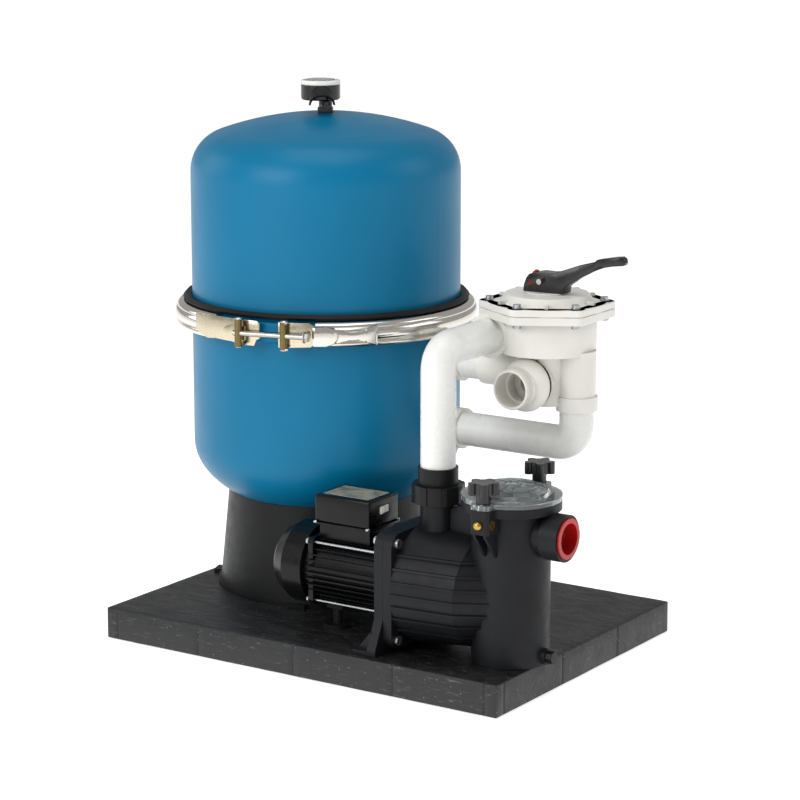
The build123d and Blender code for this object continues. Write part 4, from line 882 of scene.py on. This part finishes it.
class FILTER_OT_motor(bpy.types.Operator):
    """Finishes the motor and its terminal box"""

    bl_idname = "filter_set.motor"
    bl_label = "Motor"

    def execute(self, context):
        dress(SHARED, "motor", "motor_housing", "fan_cover", "terminal_box", "terminal_cover")
        dress(SHARED, "zinc", "tie_rods", "motor_bearings", "motor_rotor")
        dress(SHARED, "core", "motor_stator")
        dress(SHARED, "skirt", "cooling_fan")
        dress(SHARED, "fitting", "power_switch")
        low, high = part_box("terminal_cover")
        middle = (low + high) / 2
        switch_low, switch_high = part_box("power_switch")
        foot = HOUSING_FOOT * MM
        mesh = bmesh.new()
        centre = Vector((middle.x, middle.y, (high.z + foot) / 2))
        size = Vector((high.x - low.x - 1.6 * MM, high.y - low.y, high.z - foot))
        bevelled_box(mesh, centre, size, 3 * MM, 3)
        wall = max((f for f in mesh.faces if f.normal.x > 0.99), key=lambda f: f.calc_area())
        bmesh.ops.inset_individual(mesh, faces=[wall], thickness=4 * MM)
        mouth = (switch_low + switch_high) / 2
        for vert in wall.verts:
            vert.co.y = mouth.y + math.copysign(SWITCH_MOUTH[0] * MM, vert.co.y - mouth.y)
            vert.co.z = mouth.z + math.copysign(SWITCH_MOUTH[1] * MM, vert.co.z - centre.z)
        for face in bmesh.ops.extrude_discrete_faces(mesh, faces=[wall])["faces"]:
            for vert in face.verts:
                vert.co.x -= SWITCH_MOUTH[2] * MM
        flange = Vector((high.x - low.x + 3 * MM, high.y - low.y + 3 * MM, 3.5 * MM))
        bevelled_box(mesh, Vector((middle.x, middle.y, foot - 1.7 * MM)), flange, 1 * MM)
        finish_mesh(
            "terminal_housing",
            mesh,
            SHARED["motor"],
            "unit",
            40.0,
            ("terminal_box", "terminal_cover"),
        )
        mesh = bmesh.new()
        for across in (-1, 1):
            for side in (-1, 1):
                spot = Vector((middle.x + across * SCREW_X * MM, middle.y + side * SCREW_Y * MM, foot))
                turned_bar(mesh, HOUSING_SCREW, spot, (0, 0, 1))
        finish_mesh("housing_screws", mesh, SHARED["zinc"], "unit")
        mesh = bmesh.new()
        centre = Vector((middle.x, middle.y, high.z + 0.3 * MM))
        bevelled_box(mesh, centre, Vector(FOIL) * MM, 0.2 * MM, 1)
        finish_mesh("rating_foil", mesh, SHARED["foil"], "unit")
        low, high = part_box("tie_rods")
        reach = TIE_END - low.x / MM
        mesh = bmesh.new()
        for across in (-1, 1):
            for up in (-1, 1):
                start = PUMP_AXIS + Vector((low.x, across * TIE_OFFSET * MM, up * TIE_OFFSET * MM))
                turned_bar(mesh, TIE_HEAD + [(2, reach), (0, reach)], start, (1, 0, 0))
        finish_mesh("tie_bars", mesh, SHARED["zinc"], "unit", 35.0, ("tie_rods",))
        return {"FINISHED"}


class FILTER_OT_stage(bpy.types.Operator):
    """Lays the floor and sets the lights and the camera"""

    bl_idname = "filter_set.stage"
    bl_label = "Stage"

    def execute(self, context):
        floor_finish, shader, place = start_material("matt_paper_floor", {"Specular IOR Level": 0.2})
        fibre = add_node(floor_finish, "ShaderNodeTexNoise", clouds(place, 300)).outputs[0]
        tone = two_tone(floor_finish, fibre, linear_colour("FAFAFA"), linear_colour("F6F6F7"))
        join(floor_finish, tone, shader, "Base Color")
        shader.inputs["Roughness"].default_value = 0.8
        shader.inputs["Emission Color"].default_value = linear_colour("FFFFFF")
        shader.inputs["Emission Strength"].default_value = FLOOR_GLOW
        mesh = bmesh.new()
        ground = Matrix.Translation((0, 0, cad_low.z - 1.2 * MM))
        bmesh.ops.create_grid(mesh, x_segments=4, y_segments=4, size=60.0, matrix=ground)
        data = bpy.data.meshes.new("floor")
        mesh.to_mesh(data)
        mesh.free()
        data.materials.append(floor_finish)
        floor = bpy.data.objects.new("floor", data)
        context.scene.collection.objects.link(floor)
        world = bpy.data.worlds.new("studio_white")
        world.use_nodes = True
        background = world.node_tree.nodes["Background"]
        background.inputs["Color"].default_value = linear_colour("FFFFFF")
        background.inputs["Strength"].default_value = ROOM_FILL
        backdrop = world.node_tree.nodes.new("ShaderNodeBackground")
        seen = world.node_tree.nodes.new("ShaderNodeLightPath")
        choice = world.node_tree.nodes.new("ShaderNodeMixShader")
        out = world.node_tree.nodes["World Output"]
        link = world.node_tree.links.new
        link(seen.outputs["Is Camera Ray"], choice.inputs[0])
        link(background.outputs[0], choice.inputs[1])
        link(backdrop.outputs[0], choice.inputs[2])
        link(choice.outputs[0], out.inputs["Surface"])
        backdrop.inputs["Color"].default_value = linear_colour("FFFFFF")
        backdrop.inputs["Strength"].default_value = 1.0
        context.scene.world = world
        context.scene.view_settings.view_transform = "Standard"
        target = Vector((0, 0, 0.38))
        # name, azimuth, elevation, distance, size, watts
        lights = (
            ("left_softbox", -12, 24, 2.6, 1.5, 30),
            ("side_softbox", -78, 20, 2.6, 1.2, 7),
            ("right_softbox", 120, 30, 2.8, 1.4, 10),
            ("overhead_softbox", 20, 80, 2.4, 1.8, 20),
        )
        for name, azimuth, elevation, distance, size, power in lights:
            a, e = math.radians(azimuth), math.radians(elevation)
            back = Vector((math.sin(a) * math.cos(e), -math.cos(a) * math.cos(e), math.sin(e)))
            data = bpy.data.lights.new(name, "AREA")
            data.shape = "SQUARE"
            data.size = size
            data.energy = power
            light = bpy.data.objects.new(name, data)
            light.location = target + back * distance
            light.rotation_mode = "QUATERNION"
            light.rotation_quaternion = (-back).to_track_quat("-Z", "Y")
            context.scene.collection.objects.link(light)
        data = bpy.data.cameras.new("camera")
        data.sensor_width = 36
        data.lens = CAMERA_LENS
        data.clip_start, data.clip_end = 0.1, 200
        camera = bpy.data.objects.new("camera", data)
        camera.location = CAMERA_PLACE
        a, e = (math.radians(v) for v in CAMERA_TURN)
        ahead = Vector((-math.sin(a) * math.cos(e), math.cos(a) * math.cos(e), -math.sin(e)))
        camera.rotation_mode = "QUATERNION"
        camera.rotation_quaternion = ahead.to_track_quat("-Z", "Y")
        context.scene.collection.objects.link(camera)
        context.scene.camera = camera
        return {"FINISHED"}


# The closure's middle, seen from the tank's axis, and its two trunnions' places along the band, in mm.
CLOSURE_ANGLE = -76
BAND_RADIUS = 230
TRUNNION_LEFT = -45
TRUNNION_RIGHT = 25
# The trunnions' distance from the tank's axis, half length and rounded cap.
TRUNNION_RADIUS = 236
TRUNNION_HALF = 22.2
TRUNNION_CAP = [(0, 0), (4.6, 0), (6.2, 1.2), (6.4, 4.2), (0, 4.2)]

# The band's rolled section: (radius, height from the parting), out along the face and back inside.
BAND_SECTION = (
    [(209.5, 17.0), (213.5, 18.2), (218.5, 17.4), (222.5, 14.5)]
    + [(224.6, 11.6), (224.3, 9.6), (226.6, 7.0)]
    + [(228.0, 3.0), (228.0, -1.5), (226.8, -5.6), (224.4, -8.2), (224.8, -10.4), (226.0, -12.6)]
    + [(225.4, -15.4), (222.6, -18.0), (218.5, -19.0)]
    + [(218.3, -17.4), (221.8, -16.4), (223.9, -14.6)]
    + [(224.1, -12.8), (222.9, -10.2), (222.7, -7.6), (225.1, -5.0), (226.3, -1.5), (226.3, 3.0)]
    + [(225.1, 6.4), (222.8, 8.8), (222.9, 11.0), (221.3, 13.3)]
    + [(218.0, 15.8), (213.5, 16.6), (209.8, 15.6)]
)
# Outlines of the closure's pressed plates: (along the band, height from the parting).
LEFT_PLATE = (
    [(-142, 15), (-132, 18.5), (-60, 18.5), (-20, 18), (-15, 15), (-15, -8), (-20, -10), (-24, -19)]
    + [(-50, -19), (-62, -16), (-95, -15), (-112, -17), (-134, -12), (-142, -6)]
)
LEFT_LOOP = (
    [(-38, 9.5), (-66, 8.5), (-72, 6.5), (-76, 3), (-77, -1)]
    + [(-76, -5), (-72, -8.5), (-66, -10.5), (-38, -12)]
)
RIGHT_PLATE = [(14, 18), (60, 18), (67, 14), (68, -12), (62, -17), (20, -19), (14, -19)]
CUP = [(64, 13), (84, 14), (98, 10), (102, 4), (102, -5), (98, -11), (84, -16), (64, -16)]
NECK = (
    [(98, 10), (108, 7), (118, 5), (130, 5), (142, 8), (160, 15), (160, -17), (142, -11), (130, -8)]
    + [(118, -8), (108, -10), (98, -12)]
)
# The gauge's drum and its white bezel: (radius, height).
DRUM_SECTION = [
    (0, 784.5), (27, 784.5), (29, 786), (29.3, 788),
    (29.3, 807), (26, 807), (26, 787), (0, 787),
]
BEZEL_SECTION = (
    [(26, 807.2), (29.4, 807.2), (29.7, 808), (29.7, 811.5)]
    + [(28.6, 813.4), (26.6, 813.8), (25.6, 813), (25.6, 807.2)]
    + [(26, 807.2)]
)
# The strainer lid's ribs, from its top: (from the middle, height), and its two raised rings.
RIB_COUNT = 10
RIB_THICKNESS = 2.8
LID_RIB = [
    (13, -0.6), (13, 2.2), (30, 2.2), (50, -3.4),
    (56, -8.6), (54, -11), (49, -7), (30, -1.2),
]
LID_RINGS = (
    [(10, -0.6), (10.4, 2.2), (13.6, 2.2), (14, -0.6)],
    [(33.6, -3), (34.2, 1.0), (37, 0.2), (37.6, -3.8)],
)
# The brass screws at the lugs' ends, LUG_REACH from the strainer's middle: (radius, outwards).
LUG_REACH = 87
LUG_SCREW = [(0, -2), (6.3, -2), (6.3, 2), (5.6, 4.2), (3.6, 6), (0, 6.8)]
# The webs under the strainer's knob lugs: (from the strainer's middle, height).
LUG_WEB = [(54, 246), (84, 246), (84, 240), (56, 206), (53, 206)]
# The web between the pump's outlet neck and its pot: (along the pump, height).
NECK_WEB = [(185, 200), (232, 200), (232, 256), (204, 256), (185, 244)]
# The hood over the gauge's bleed: (along its axis, radius).
HOOD_SECTION = [(0, 14), (28, 19.5), (29.5, 19.5), (29.5, 16.5), (28, 16.5), (0, 11)]
# The valve lever's side view: (from the valve's axis, height), and its half width along the way.
LEVER_SIDE = (
    [(-30, 532), (-29, 542), (-25, 552), (-20, 558)]
    + [(-12, 559.5), (2, 559.5), (15, 560.5), (35, 567.5)]
    + [(55, 575), (80, 582), (85, 586), (110, 591)]
    + [(122, 592.5), (127, 590), (129, 585), (127, 580.5)]
    + [(110, 578.5), (95, 575), (80, 569), (55, 556), (38, 544.5), (34, 541), (33, 532)]
)
LEVER_HALF_WIDTH = [
    (-30, 17), (10, 18), (28, 13), (45, 8), (80, 7),
    (86, 9), (110, 10), (124, 9), (129, 6),
]
# The red arch let into the lever's hub: (from the valve's axis, radius).
ACCENT_SECTION = [(-20.4, 17.6), (-18.6, 19.4), (-16.8, 17.6), (-16.8, 12), (-20.4, 12)]
# The valve's two six-sided flanges: heights, flat half width, corner radius and bore.
FLANGE_PLATES = [(497, 508.8), (509.4, 519.2)]
FLANGE_FLAT = 86.3
FLANGE_CORNER = 13.5
FLANGE_BORE = 78
# The return union's nut and its black ring: (radius, distance from the valve towards the mouth).
UNION_NUT = (
    [(26, 0), (35, 0), (37.4, 4), (38.4, 10), (38, 14)]
    + [(36.4, 19), (33.6, 24), (30, 27.6), (27.5, 28)]
    + [(26, 27), (26, 0)]
)
UNION_RING = [(28, -3.5), (34.2, -3.5), (34.8, -3), (34.8, -0.4), (28, -0.4), (28, -3.5)]
# The terminal housing's foot, the switch's mouth (half width, half height, depth), its four
# screws (from the housing's middle; radius, height) and the blank foil on its lid.
HOUSING_FOOT = 209
SWITCH_MOUTH = (11.8, 5.5, 9)
SCREW_X, SCREW_Y = 45, 38
HOUSING_SCREW = [(0, 2.2), (2.2, 2), (3.2, 1), (3.2, -1), (0, -1)]
FOIL = (78, 54, 0.6)
# The motor's tie bars: their distance from the axis each way, their end, and a head's outline.
TIE_OFFSET = 43
TIE_END = 112
TIE_HEAD = [(0, 0), (4.4, 0), (5, 0.6), (5, 3.4), (4.4, 4), (2, 4)]
# Plastics with fibre or carbon black in the skin mirror less than a clean one.
MATT = {"Specular IOR Level": 0.22}
# How bright the white room is in reflections, and how much the lit floor adds of its own.
ROOM_FILL = 0.42
FLOOR_GLOW = 0.66
CAMERA_LENS = 123.9
CAMERA_PLACE = (2.2024, -3.2794, 1.2064)
CAMERA_TURN = (33.64, 12.12)
SHARED = {}

OPERATORS = (
    FILTER_OT_slab,
    FILTER_OT_tank,
    FILTER_OT_clamp,
    FILTER_OT_gauge,
    FILTER_OT_pipes,
    FILTER_OT_valve,
    FILTER_OT_pump,
    FILTER_OT_motor,
    FILTER_OT_stage,
)


class FILTER_PT_panel(bpy.types.Panel):
    """Lists the filter set's pieces, colours and sizes"""

    bl_idname = "FILTER_PT_panel"
    bl_label = "Filter set"
    bl_space_type = "VIEW_3D"
    bl_region_type = "UI"
    bl_category = "Filter set"

    def draw(self, context):
        for group in (context.scene.filter_finish, context.scene.filter_sizes):
            for name in group.bl_rna.properties.keys():
                if name not in ("rna_type", "name"):
                    self.layout.prop(group, name)
        for operator in OPERATORS:
            self.layout.operator(operator.bl_idname)


CLASSES = (FilterSetFinish, FilterSetSizes, *OPERATORS, FILTER_PT_panel)


def register():
    for item in CLASSES:
        bpy.utils.register_class(item)
    bpy.types.Scene.filter_finish = bpy.props.PointerProperty(type=FilterSetFinish)
    bpy.types.Scene.filter_sizes = bpy.props.PointerProperty(type=FilterSetSizes)


def unregister():
    del bpy.types.Scene.filter_finish
    del bpy.types.Scene.filter_sizes
    for item in reversed(CLASSES):
        bpy.utils.unregister_class(item)


def main():
    """Builds every piece and the stage."""
    register()
    SHARED.update(make_finishes(bpy.context.scene.filter_finish))
    for operator in OPERATORS:
        getattr(bpy.ops.filter_set, operator.bl_idname.split(".")[1])()


if __name__ == "__main__":
    main()
